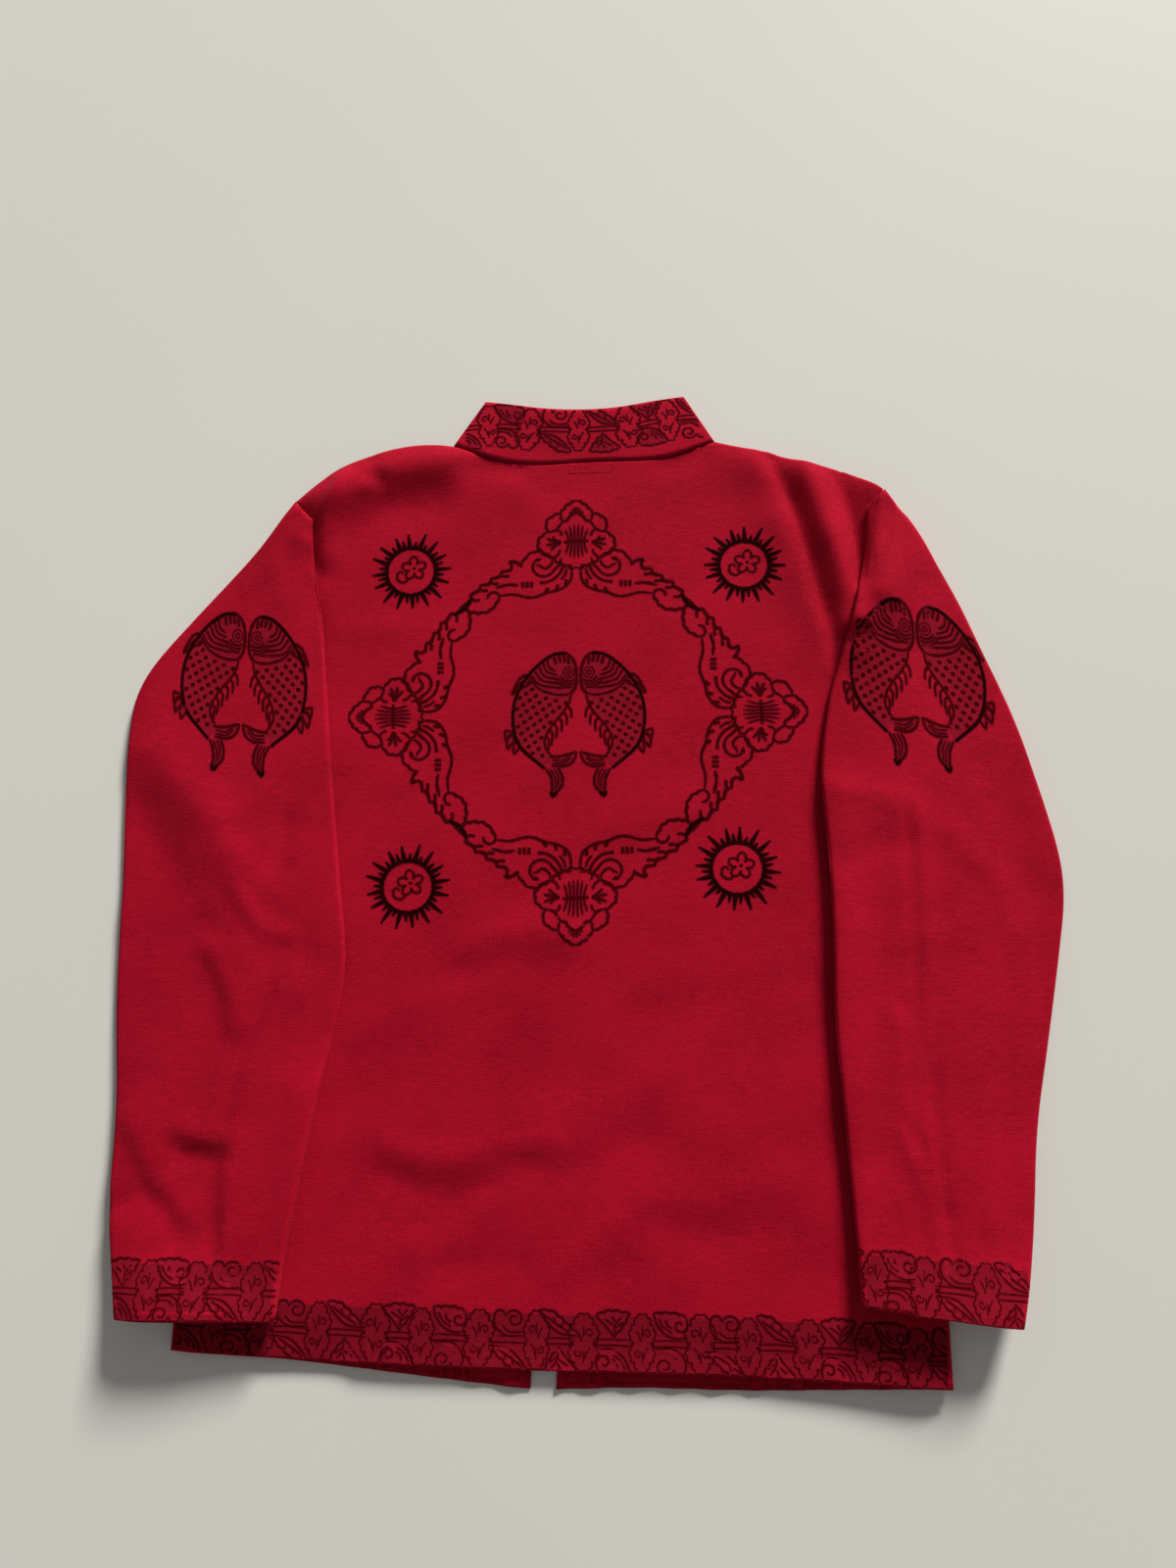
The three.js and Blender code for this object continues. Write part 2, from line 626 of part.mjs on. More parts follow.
function collar() {
  const lowTop = COLLAR_CLOTH / 2;
  const highTop = 1.5 * COLLAR_CLOTH + COLLAR_HOLLOW;
  const topRadius = (highTop - lowTop) / 2;
  const lowFoot = (p) => COLLAR_CLOTH / 2 + lift(p.x, p.y) / 2;
  const highFoot = (p) => backHeight(p.x, p.y) + SEAM_GAP;
  // The fold at an end of the neck, between the front half below and the back half above.
  const ends = { [LEFT]: BACK_NECK[0], [RIGHT]: BACK_NECK[BACK_NECK.length - 1] };
  const footRadius = (side) => (highFoot(ends[side]) - lowFoot(ends[side])) / 2;
  // Near that fold, both halves stop short of it by its radius.
  const drawnIn = (p, side, share, radius) => ({ x: p.x - side * radius * share ** 4, y: p.y });

  const column = (foot, top, side, share, footHeight, topHeight) =>
    collarColumn(
      drawnIn(foot, side, share, footRadius(side)),
      drawnIn(top, side, share, topRadius),
      footHeight,
      topHeight,
    );
  const frontHalf = (side, neck, edge) => {
    const ts = steps(FRONT_NECK_COLUMNS);
    const foot = sample([...neck].reverse(), ts);
    const top = sample([...edge].reverse(), ts);
    return ts.map((t, i) => column(foot[i], top[i], side, t, lowFoot(foot[i]), lowTop));
  };
  const fold = (side, top) =>
    steps(COLLAR_FOLD_COLUMNS)
      .slice(1, -1)
      .map((t) => {
        const angle = Math.PI * (t - 0.5);
        const up = 1 + Math.sin(angle);
        return column(
          drawnIn(ends[side], side, 1, -footRadius(side) * Math.cos(angle)),
          drawnIn(top, side, 1, -topRadius * Math.cos(angle)),
          side,
          1,
          lowFoot(ends[side]) + footRadius(side) * up,
          lowTop + topRadius * up,
        );
      });
  const backHalf = () => {
    const ts = steps(NECK_COLUMNS);
    const foot = sample(BACK_NECK, ts);
    const top = sample(COLLAR_BACK_TOP, ts);
    return ts.map((t, i) => {
      const side = t < 0.5 ? LEFT : RIGHT;
      const crown = COLLAR_CROWN * Math.sin(Math.PI * t);
      const share = Math.abs(2 * t - 1);
      return column(foot[i], top[i], side, share, highFoot(foot[i]), highTop + crown);
    });
  };
  const columns = [
    ...frontHalf(LEFT, LEFT_FRONT_NECK, COLLAR_LEFT_TOP),
    ...fold(LEFT, COLLAR_LEFT_TOP[0]),
    ...backHalf(),
    ...fold(RIGHT, COLLAR_RIGHT_TOP[0]).reverse(),
    ...frontHalf(RIGHT, RIGHT_FRONT_NECK, COLLAR_RIGHT_TOP).reverse(),
  ];
  const rows = steps(COLLAR_ROWS).map((_, i) => columns.map((points) => points[i]));
  return wall(rows, COLLAR_CLOTH);
}

// ---------------------------------------------------------------- the jacket
function piece(name, geometry) {
  const cotton = new THREE.MeshStandardMaterial({
    color: CRIMSON,
    roughness: 0.85,
    metalness: 0,
  });
  const mesh = new THREE.Mesh(geometry, cotton);
  mesh.name = name;
  return mesh;
}

const jacket = new THREE.Group();
jacket.add(
  piece("back", back()),
  piece(
    "front_left",
    front(LEFT, LEFT_SHOULDER, LEFT_FRONT_NECK, LEFT_FRONT_EDGE, LEFT_FRONT_HEM),
  ),
  piece(
    "front_right",
    front(RIGHT, RIGHT_SHOULDER, RIGHT_FRONT_NECK, RIGHT_FRONT_EDGE, RIGHT_FRONT_HEM),
  ),
  piece("sleeve_left", sleeve(LEFT, LEFT_SLEEVE, LEFT_ARMHOLE[0])),
  piece("sleeve_right", sleeve(RIGHT, RIGHT_SLEEVE, RIGHT_ARMHOLE[0])),
  piece("collar", collar()),
);

export default jacket;
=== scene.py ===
# A cotton tang jacket laid face down on a pale floor, with its back on top and its sleeves
# brought down over its sides. Each sewn piece is a thin wall of cloth on the form of its own
# solid. Sizes are in millimetres; meshes are made in metres. +Y points to the collar.
import math

import bmesh
import bpy
import numpy as np
from mathutils import Matrix, Vector, noise
from mathutils.bvhtree import BVHTree


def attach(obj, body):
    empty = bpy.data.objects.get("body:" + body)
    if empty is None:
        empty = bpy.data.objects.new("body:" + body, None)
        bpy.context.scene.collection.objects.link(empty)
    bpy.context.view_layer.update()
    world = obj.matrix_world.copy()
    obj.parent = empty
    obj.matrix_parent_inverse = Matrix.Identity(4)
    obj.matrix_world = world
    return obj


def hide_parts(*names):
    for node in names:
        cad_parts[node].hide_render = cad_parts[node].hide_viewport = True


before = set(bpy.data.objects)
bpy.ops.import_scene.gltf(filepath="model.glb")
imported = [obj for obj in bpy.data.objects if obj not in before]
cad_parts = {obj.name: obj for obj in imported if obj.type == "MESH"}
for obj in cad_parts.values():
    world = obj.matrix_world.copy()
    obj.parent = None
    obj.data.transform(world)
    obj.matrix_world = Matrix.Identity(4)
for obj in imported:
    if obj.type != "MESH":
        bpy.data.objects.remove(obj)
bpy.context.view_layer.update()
MM = 0.001

# ------------------------------------------------------------------------------ the fronts
# The two fronts lie face down on the floor, under the back. They are plain-woven cotton of
# about 300 g a square metre, one layer, with a slubby weft, cut edge to edge down the middle
# and overlocked along the hem, which waves a little where it stays uncovered.
SAME_POINT = 1e-6  # metres
OVERHEAD = 90  # higher than any of the cloth
CUT_EDGE = math.radians(65)  # a sharper turn than this is a cut edge of the cloth
CORNER = math.radians(25)  # a sharper turn than this, seen from above, is a corner
UPRIGHT = 0.7  # an edge that rises by more than this share of its length is upright
DIVISIONS = 2
CLOTH = 1.2  # thickness of a layer, with its air
CRIMSON = (0.40, 0.0026, 0.0185)
# the crimson with painted shade, for the weave's hollows; it is also the tone of the patches where
# the dye took more
CRIMSON_SHADE = (0.25, 0.0011, 0.0095)
THREAD = 0.75  # pitch of the weave's threads
SLUB_LENGTH = 6  # a thick stretch of a thread
SLUB_SHARE = 0.45  # how much the slubs add to the weave
PATCH = 75  # a patch where the dye took a little more
NAP_TINT = (1.0, 0.12, 0.22)
NAP_ROUGHNESS = 0.45


def add(tree, kind, values=(), **settings):
    """A node of the tree, with its settings, and its inputs set or linked."""
    node = tree.nodes.new("ShaderNode" + kind)
    for key, value in settings.items():
        setattr(node, key, value)
    for key, value in dict(values).items():
        if isinstance(value, bpy.types.NodeSocket):
            tree.links.new(value, node.inputs[key])
        else:
            node.inputs[key].default_value = value
    return node


def stretched_noise(tree, place, size, detail=2.0):
    """Noise whose grains have that size along X, Y and Z, in millimetres."""
    scale = [1 / (MM * s) for s in size]
    mapping = add(tree, "Mapping", {"Vector": place, "Scale": scale})
    grain = add(tree, "TexNoise", {"Vector": mapping.outputs[0], "Scale": 1.0, "Detail": detail})
    return grain.outputs[0]


def respread(tree, value, low, high, new_low, new_high, clamp=True):
    """The value, with low to high spread from new_low to new_high."""
    spans = {"From Min": low, "From Max": high, "To Min": new_low, "To Max": new_high}
    return add(tree, "MapRange", {"Value": value, **spans}, clamp=clamp).outputs[0]


def woven_cotton_group():
    """Colour, roughness and height of a slubby plain weave."""
    tree = bpy.data.node_groups.new("woven cotton", "ShaderNodeTree")
    for name, kind in (("Colour", "NodeSocketColor"), ("Shade", "NodeSocketColor")):
        tree.interface.new_socket(name, in_out="INPUT", socket_type=kind)
    tree.interface.new_socket("Contrast", in_out="INPUT", socket_type="NodeSocketFloat")
    tree.interface.new_socket("Colour", in_out="OUTPUT", socket_type="NodeSocketColor")
    tree.interface.new_socket("Roughness", in_out="OUTPUT", socket_type="NodeSocketFloat")
    tree.interface.new_socket("Height", in_out="OUTPUT", socket_type="NodeSocketFloat")
    given = tree.nodes.new("NodeGroupInput")
    place = add(tree, "TexCoord").outputs["Object"]
    warp = stretched_noise(tree, place, (THREAD, 0.6 * SLUB_LENGTH, 3))
    weft = stretched_noise(tree, place, (SLUB_LENGTH, THREAD, 3))
    slubs = stretched_noise(tree, place, (2 * SLUB_LENGTH, 4 * THREAD, 6))
    patches = stretched_noise(tree, place, (PATCH, 0.8 * PATCH, PATCH), 3.0)
    weave = add(tree, "Math", {0: warp, 1: weft}, operation="ADD").outputs[0]
    slubbed = {0: slubs, 1: SLUB_SHARE, 2: weave}
    threads = add(tree, "Math", slubbed, operation="MULTIPLY_ADD").outputs[0]
    # painted light and shade: the colour is lighter on the raised threads and darker in the hollows
    # between them
    lighter = respread(tree, threads, 0.85, 1.6, -1.0, 1.0, clamp=False)
    dyed = respread(tree, patches, 0.3, 0.7, 0.4, 0.95)
    uneven = {0: lighter, 1: given.outputs["Contrast"], 2: dyed}
    share = add(tree, "Math", uneven, operation="MULTIPLY_ADD").outputs[0]
    # inputs 0, 6 and 7 are the share and the two colours
    colours = {0: share, 6: given.outputs["Shade"], 7: given.outputs["Colour"]}
    colour = add(tree, "Mix", colours, data_type="RGBA")
    rough = respread(tree, threads, 0.8, 1.7, 0.95, 0.8)
    made = tree.nodes.new("NodeGroupOutput")
    tree.links.new(colour.outputs[2], made.inputs["Colour"])
    tree.links.new(rough, made.inputs["Roughness"])
    tree.links.new(threads, made.inputs["Height"])
    return tree


WOVEN_COTTON = woven_cotton_group()


def cotton(name, colour, shade, contrast=0.5, sheen=0.1, relief=0.2, shine=0.07):
    """Cotton of that colour. relief is the height of its threads."""
    material = bpy.data.materials.new(name)
    material.use_nodes = True
    tree = material.node_tree
    surface = tree.nodes["Principled BSDF"]
    weave = tree.nodes.new("ShaderNodeGroup")
    weave.node_tree = WOVEN_COTTON
    weave.inputs["Colour"].default_value = (*colour, 1)
    # shade is painted shade in the weave's hollows, and the tone of the darker dye patches
    weave.inputs["Shade"].default_value = (*shade, 1)
    weave.inputs["Contrast"].default_value = contrast
    bump = add(tree, "Bump", {"Height": weave.outputs["Height"], "Distance": relief * MM})
    tree.links.new(weave.outputs["Colour"], surface.inputs["Base Color"])
    tree.links.new(weave.outputs["Roughness"], surface.inputs["Roughness"])
    tree.links.new(bump.outputs[0], surface.inputs["Normal"])
    surface.inputs["Specular IOR Level"].default_value = shine
    surface.inputs["Sheen Weight"].default_value = sheen
    surface.inputs["Sheen Roughness"].default_value = NAP_ROUGHNESS
    surface.inputs["Sheen Tint"].default_value = (*NAP_TINT, 1)
    return material


CRIMSON_COTTON = cotton("crimson cotton", CRIMSON, CRIMSON_SHADE)


def sewn_piece(node):
    """A piece on the form of its solid, divided finely, its cut edges kept sharp."""
    name = "jacket_" + node
    bm = bmesh.new()
    bm.from_mesh(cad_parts[node].data)
    bmesh.ops.remove_doubles(bm, verts=bm.verts, dist=SAME_POINT)
    bmesh.ops.join_triangles(
        bm,
        faces=bm.faces,
        angle_face_threshold=CUT_EDGE,
        angle_shape_threshold=CUT_EDGE,
    )
    sharp = bm.edges.layers.float.new("crease_edge")
    for edge in bm.edges:
        start, end = (vert.co for vert in edge.verts)
        upright = abs(end.z - start.z) > UPRIGHT * edge.calc_length()
        if edge.calc_face_angle(0) > (CORNER if upright else CUT_EDGE):
            edge[sharp] = 1
    coarse = bpy.data.meshes.new(name)
    bm.to_mesh(coarse)
    bm.free()
    wall = bpy.data.objects.new(name, coarse)
    bpy.context.scene.collection.objects.link(wall)
    finer = wall.modifiers.new("finer", "SUBSURF")
    finer.levels = finer.render_levels = DIVISIONS
    shape = wall.evaluated_get(bpy.context.evaluated_depsgraph_get())
    wall.data = bpy.data.meshes.new_from_object(shape)
    wall.modifiers.clear()
    wall.data.attributes.remove(wall.data.attributes["crease_edge"])
    wall.data.shade_smooth()
    wall.data.materials.clear()
    wall.data.materials.append(CRIMSON_COTTON)
    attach(wall, "root")
    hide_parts(node)
    return wall


def points_of(piece):
    """Its points in millimetres, a row for each."""
    points = np.empty(3 * len(piece.data.vertices))
    piece.data.vertices.foreach_get("co", points)
    return points.reshape(-1, 3) / MM


def set_points(piece, points):
    piece.data.vertices.foreach_set("co", (points * MM).ravel())
    piece.data.update()


def lower_edge(wall, below, width=3):
    """The edge of a piece towards its hem, a point for each column of that width."""
    p = points_of(wall)
    p = p[p[:, 1] < below]
    columns = np.round(p[:, 0] / width)
    lowest = [min(p[columns == c], key=lambda spot: spot[1]) for c in np.unique(columns)]
    return np.array(lowest)[:, :2]


def resampled(path, count):
    """The same path as count points, evenly spread."""
    run = np.concatenate([[0], np.cumsum(np.hypot(*np.diff(path, axis=0).T))])
    at = np.linspace(0, run[-1], count)
    return np.stack([np.interp(at, run, path[:, 0]), np.interp(at, run, path[:, 1])], 1)


def length_of(path):
    return np.hypot(*np.diff(path, axis=0).T).sum()


def sideways(path):
    """The unit vector to the left of the path, at each of its points."""
    along = np.gradient(path, axis=0)
    along /= np.maximum(np.hypot(*along.T), 1e-9)[:, None]
    return np.stack([-along[:, 1], along[:, 0]], 1)


def laid_on(name, cloth, marks, heights, materials):
    """The marks as one thin piece that lies on the cloth, seen from above. heights gives how far
    each kind of mark lies off it, at its edges and down its middle."""
    tree = BVHTree.FromObject(cloth, bpy.context.evaluated_depsgraph_get())
    bm = bmesh.new()
    kinds = list(heights)
    for kind, grid in marks:
        points = {}
        last = len(grid[0]) - 1
        for i, row in enumerate(grid):
            for j, (x, y) in enumerate(row):
                if math.isnan(x):
                    continue
                start = Vector((x, y, OVERHEAD)) * MM
                hit, normal = tree.ray_cast(start, Vector((0, 0, -1)))[:2]
                if hit:
                    height = heights[kind][0 if j in (0, last) else 1]
                    points[i, j] = bm.verts.new(hit + normal * (height * MM))
        for i in range(len(grid) - 1):
            for j in range(last):
                keys = ((i, j), (i + 1, j), (i + 1, j + 1), (i, j + 1))
                corners = [points.get(key) for key in keys]
                if None not in corners:
                    bm.faces.new(corners).material_index = kinds.index(kind)
    bmesh.ops.remove_doubles(bm, verts=bm.verts, dist=SAME_POINT)
    bmesh.ops.delete(bm, geom=[v for v in bm.verts if not v.link_faces], context="VERTS")
    bm.normal_update()
    bmesh.ops.reverse_faces(bm, faces=[face for face in bm.faces if face.normal.z < 0])
    mesh = bpy.data.meshes.new(name)
    bm.to_mesh(mesh)
    bm.free()
    mesh.shade_smooth()
    for material in materials:
        mesh.materials.append(material)
    piece = bpy.data.objects.new(name, mesh)
    bpy.context.scene.collection.objects.link(piece)
    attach(piece, "root")
    return piece


# the thread's colour, and its painted shade in the weave's hollows and darker dye patches
THREAD_COLOURS = ((0.27, 0.0026, 0.012), (0.10, 0.0010, 0.004))
THREAD_COTTON = cotton("sewing thread", *THREAD_COLOURS, contrast=0.9, sheen=0.05, relief=0.1)
THREAD_HEIGHTS = {"thread": (0.02, 0.26)}
THREAD_WIDTH = 0.62
OVERLOCK_PITCH = 2.3
OVERLOCK_DEPTHS = (0.5, 3.4)  # how far inside the edge its slanted threads start and end
NEEDLE_STITCH = 0.86  # the share of a pitch that a needle stitch takes


def stitch(start, end):
    """A short raised thread, thinner at its ends."""
    path = np.linspace(start, end, 4)
    half = 0.5 * THREAD_WIDTH * np.array([0.5, 1, 1, 0.5])[:, None]
    side = sideways(path)
    return "thread", np.stack([path - half * side, path, path + half * side], 1)


def stitched(name, cloth, marks):
    """The marks as sewing thread on the cloth."""
    return laid_on(name, cloth, marks, THREAD_HEIGHTS, [THREAD_COTTON])


def overlocked(path):
    """Overlock stitches over the edge: slanted threads, and a line of needle stitches."""
    path = resampled(path, int(length_of(path) / OVERLOCK_PITCH))
    inward = sideways(path)
    inward *= np.sign(inward[:, 1])[:, None]
    root, tip = (path + depth * inward for depth in OVERLOCK_DEPTHS)
    marks = [stitch(a, b) for a, b in zip(root, tip[1:])]
    marks += [stitch(a, a + NEEDLE_STITCH * (b - a)) for a, b in zip(tip, tip[1:])]
    return marks


def beside(path, x, y):
    """How far each point is from a path, on which side of it, and how far along it from its
    nearer end. The side is below 0 to the path's right."""
    away = np.full(np.shape(x), np.inf)
    side = np.zeros(np.shape(x))
    run = np.zeros(np.shape(x))
    done = 0
    for (ax, ay), (bx, by) in zip(path, path[1:]):
        dx, dy = bx - ax, by - ay
        length = math.hypot(dx, dy)
        t = np.clip(((x - ax) * dx + (y - ay) * dy) / length**2, 0, 1)
        here = np.hypot(x - ax - t * dx, y - ay - t * dy)
        nearer = here < away
        away = np.where(nearer, here, away)
        side = np.where(nearer, dx * (y - ay) - dy * (x - ax), side)
        run = np.where(nearer, done + t * length, run)
        done += length
    return away, side, np.minimum(run, done - run)


def creases(table, x, y):
    """Height of the soft ridges and troughs of a table over each point."""
    height = np.zeros(np.shape(x))
    for path, half_width, rise, *steep in table:
        away, side, from_end = beside(path, x, y)
        width = np.where(side < 0, steep[0], half_width) if steep else half_width
        fade = np.clip(from_end / half_width, 0, 1) if steep else 1
        height += rise * fade * np.exp(-((away / width) ** 2))
    return height


FRONT_HEM_WAVE = 1.6  # how far the overlocked hem waves up
FRONT_HEM_PITCH = 31
FRONT_HEM_Y = -352
FRONT_HEM_REACH = 22
# The cloth is gathered in folds at the shoulders, where the fronts and the back are one seam.
# Each row has a fold's line, its half width and its rise, and for a fold with one steep face
# the half width of that face, which is to the line's right.
SHOULDER_FOLDS = [
    ([(-222, 258), (-209, 282), (-188, 302), (-150, 315), (-104, 321)], 14, 3.0),
    ([(172, 334), (180, 300), (190, 266), (201, 230), (207, 198), (212, 164)], 13, 6.0, 11),
    ([(236, 310), (235, 276), (233, 246), (230, 214), (224, 186)], 14, 6.5, 12),
]
# the part of the shoulder and armhole seams that no sleeve covers
SHOULDER_SEAMS = [
    [(-219, 250), (-232, 289), (-201, 315), (-146, 335), (-104, 335)],
    [(227, 236), (238, 286), (204, 306), (160, 319), (107, 333)],
]
SEAM_REACH = 18  # how far from a seam a front still follows its folds
# flat cut of a front: width, length and area, in metres
FRONT_CUTS = {"front_left": (0.283, 0.713, 0.1605), "front_right": (0.277, 0.71, 0.1667)}


def from_seam(x, y):
    """How far each point is from the nearer shoulder seam."""
    return np.min([beside(seam, x, y)[0] for seam in SHOULDER_SEAMS], axis=0)


fronts = {}
for node, (width, length, area) in FRONT_CUTS.items():
    front = sewn_piece(node)
    p = points_of(front)
    near_hem = np.clip((FRONT_HEM_Y - p[:, 1]) / FRONT_HEM_REACH, 0, 1) ** 2
    wave = 0.5 + 0.5 * np.sin(2 * math.pi * p[:, 0] / FRONT_HEM_PITCH + 0.02 * p[:, 0])
    p[:, 2] += FRONT_HEM_WAVE * near_hem * wave
    near_seam = np.clip(1 - from_seam(p[:, 0], p[:, 1]) / SEAM_REACH, 0, 1)
    p[:, 2] += near_seam * creases(SHOULDER_FOLDS, p[:, 0], p[:, 1])
    set_points(front, p)
    overlock = stitched("overlock_" + node, front, overlocked(lower_edge(front, FRONT_HEM_Y)))
    fronts[node] = front

# ------------------------------------------------------------------------------ the back
# The back is one panel of the same cotton, sewn to the fronts at the shoulders and the sides.
# It lies on them with a little air between, and keeps the creases of a jacket that was folded.
BACK_CREASES = SHOULDER_FOLDS + [
    # troughs over the left shoulder, where the cloth falls from the seam's ridge
    ([(-206, 232), (-186, 262), (-160, 282), (-118, 286)], 16, -2.4),
    ([(-186, 316), (-199, 286), (-206, 258), (-206, 226)], 15, 3.4, 8),
    ([(-204, 303), (-213, 282), (-217, 262)], 6, -2.4),
    ([(-188, 300), (-176, 308), (-164, 306)], 6, -1.8),
    ([(-172, 322), (-164, 306)], 7, -1.4),
    ([(-96, 316), (-70, 314), (-52, 312)], 9, -1.2),
    ([(-190, 181), (-148, 180)], 9, 0.9),
    ([(-62, 302), (-40, 284)], 13, 0.7),
    # troughs over the right shoulder, at the foot of its two deep folds
    ([(150, 320), (158, 300), (167, 280), (181, 232), (186, 205), (194, 176), (199, 150)], 6, -3.0),
    ([(206, 298), (212, 268), (217, 240), (217, 212)], 7, -3.0),
    ([(70, 312), (96, 322)], 9, -0.9),
    # below the wreath and above the hem
    ([(-84, -72), (-62, -60), (-36, -58), (-6, -64)], 9, 1.5),
    ([(-88, -88), (-56, -82), (-22, -86)], 10, -0.7),
    ([(-140, -213), (-112, -221), (-84, -221), (-58, -213), (-18, -209)], 8, 1.5),
    ([(-146, -232), (-118, -243), (-88, -247), (-60, -238)], 8, -1.4),
    ([(-60, -222), (-20, -232), (8, -226), (28, -212), (52, -206)], 7, -0.7),
    ([(-118, -284), (-84, -272), (-52, -248)], 12, 1.4),
    ([(-18, -300), (2, -284), (22, -266)], 11, 1.3),
    ([(-98, -298), (-58, -290), (-30, -300)], 9, -0.8),
    ([(14, -306), (34, -290)], 9, -0.8),
    ([(50, -248), (96, -246), (142, -234)], 15, 1.2),
    ([(60, -268), (104, -274), (146, -268)], 12, -0.8),
    ([(-160, -132), (-132, -112), (-108, -104)], 12, 0.9),
    ([(60, -120), (128, -104), (170, -92)], 13, -0.7),
    ([(-150, 40), (-120, -30), (-112, -96)], 15, -0.5),
    ([(74, -150), (26, -184), (-34, -200)], 16, 0.8),
    ([(30, 20), (96, 34), (150, 28)], 16, 0.6),
    # along the hem, which stands a little off the fronts
    ([(-150, -360), (-60, -363), (60, -366), (170, -369), (262, -373)], 11, 1.8),
]
# the cloth's slow unevenness: its grain along and across, its direction in degrees, its height
BACK_RUMPLES = [(110, 52, 28, 0.9), (42, 24, 20, 0.32), (16, 9, -8, 0.09)]
LEAST_AIR = 0.15  # that stays between two layers


def rumples(table, x, y):
    """Height of the cloth's slow unevenness over each point."""
    height = np.zeros(np.shape(x))
    for i, (along, across, direction, rise) in enumerate(table):
        c, s = math.cos(math.radians(direction)), math.sin(math.radians(direction))
        u = (c * x + s * y) / along
        v = (c * y - s * x) / across
        height += [rise * noise.noise((a, b, 7.3 * i)) for a, b in zip(u, v)]
    return height


def face_over(wall, points, from_above):
    """Height of the wall's top or underside at each point, and 0 beside the wall."""
    tree = BVHTree.FromObject(wall, bpy.context.evaluated_depsgraph_get())
    start, way = (OVERHEAD, -1) if from_above else (-OVERHEAD, 1)
    way = Vector((0, 0, way))
    hits = [tree.ray_cast(Vector((x, y, start)) * MM, way)[0] for x, y, z in points]
    return np.array([hit.z / MM if hit else 0 for hit in hits])


back = sewn_piece("back")
p = points_of(back)
below = np.max([face_over(front, p, True) for front in fronts.values()], axis=0)
air = face_over(back, p, False) - below - LEAST_AIR
move = creases(BACK_CREASES, p[:, 0], p[:, 1]) + rumples(BACK_RUMPLES, p[:, 0], p[:, 1])
p[:, 2] += np.maximum(move, -np.maximum(air, 0))
set_points(back, p)

# --------------------------------------------------------------------- the suns on the back
# The ornaments are printed by hand with carved wooden blocks, in a near-black ink that bleeds
# a little into the cotton. Four suns stand round the middle of the back. Each is a ring with
# long and short rays by turns, round a small blossom on a curled stem.
LINE = 1.5  # width of a printed line
BLEED = 1.3  # how much wider the ink has bled
STEP = 1.1  # between the points of a printed line
# each ink: how far it lies off the cloth, its colour, and its shade in the weave's hollows
INKS = {
    "stain": (0.030, (0.215, 0.0050, 0.0150), (0.155, 0.0034, 0.0105)),
    "wash": (0.040, (0.27, 0.0060, 0.0200), (0.18, 0.0038, 0.0130)),
    "bleed": (0.052, (0.185, 0.0040, 0.0150), (0.13, 0.0028, 0.0100)),
    "line": (0.066, (0.058, 0.0004, 0.0012), (0.040, 0.0003, 0.0008)),
    "heavy": (0.080, (0.017, 0.0003, 0.0004), (0.010, 0.0002, 0.0003)),
}
INK_HEIGHTS = {ink: (height, height) for ink, (height, *_) in INKS.items()}
INK_MATERIALS = [
    cotton("ink " + ink, full, shade, sheen=0, shine=0.02)
    for ink, (_, full, shade) in INKS.items()
]
SUN_PLACES = [(-136, 227.5, 4), (128, 227.5, -3), (-131, -25, 9), (117, -13, -6)]
SUN_RING = 19.8
SUN_RING_WIDTH = 3.0
SUN_RAYS = 32
SUN_TIPS = (32.5, 26)  # how far its long and its short rays reach
SUN_RAY_WIDTHS = (4.3, 1.0)  # at a ray's root and at its tip
SHORT_RAY = 0.85  # a short ray's width, as a share of a long one's
RAY_BLEED = 0.7
BLOSSOM_PLACE = (2.5, 2.5)
BLOSSOM_PETALS = 5


def curve(points):
    """A smooth curve through the points."""
    p = np.array(points, float)
    p = np.concatenate([2 * p[:1] - p[1:2], p, 2 * p[-1:] - p[-2:-1]])
    made = []
    for a, b, c, d in zip(p, p[1:], p[2:], p[3:]):
        count = max(2, int(np.hypot(*(c - b)) / STEP))
        t = np.linspace(0, 1, count, endpoint=False)[:, None]
        made.append(0.5 * (2 * b + (c - a) * t + (2 * a - 5 * b + 4 * c - d) * t**2))
        made[-1] += 0.5 * (3 * b - a - 3 * c + d) * t**3
    made.append(p[-2:-1])
    return np.concatenate(made)


def arc(centre, radii, start, end):
    """An arc of an ellipse, from one angle to another, in degrees."""
    (x, y), (across, up) = centre, radii
    count = max(5, int(abs(math.radians(end - start)) * max(radii) / STEP))
    t = np.radians(np.linspace(start, end, count))
    return np.stack([x + across * np.cos(t), y + up * np.sin(t)], 1)


def strip(path, half):
    """A strip along the path, with that half width at each of its points."""
    side = sideways(path)
    return np.stack([path - half * side, path + half * side], 1)


def stroke(path, width=LINE, ends=(0.55, 0.55), bleed=BLEED, ink="line"):
    """A printed line along the path, with the ink that bled beside it."""
    t = np.linspace(0, 1, len(path))
    taper = np.interp(t, [0, 0.15, 0.85, 1], [ends[0], 1, 1, ends[1]])
    uneven = 1 + 0.14 * np.sin(path[:, 0] * 0.9 + path[:, 1] * 1.3)
    half = 0.5 * width * (taper * uneven)[:, None]
    return [(ink, strip(path, half)), ("bleed", strip(path, half + 0.5 * bleed))]


def dot(centre, radii, turn=0.0):
    """A small filled mark."""
    t = np.linspace(0, 2 * math.pi, 9)[:-1]
    x, y = radii[0] * np.cos(t), radii[1] * np.sin(t)
    c, s = math.cos(turn), math.sin(turn)
    rim = np.stack([centre[0] + c * x - s * y, centre[1] + s * x + c * y], 1)
    return [("line", np.stack([rim[[0, 1, 2, 3, 4]], rim[[0, 7, 6, 5, 4]]], 1))]


def moved(marks, matrix, place=(0, 0)):
    """The marks turned, mirrored or scaled by a 2 by 2 matrix, and put in their place."""
    return [(ink, grid @ np.array(matrix, float).T + np.array(place, float)) for ink, grid in marks]


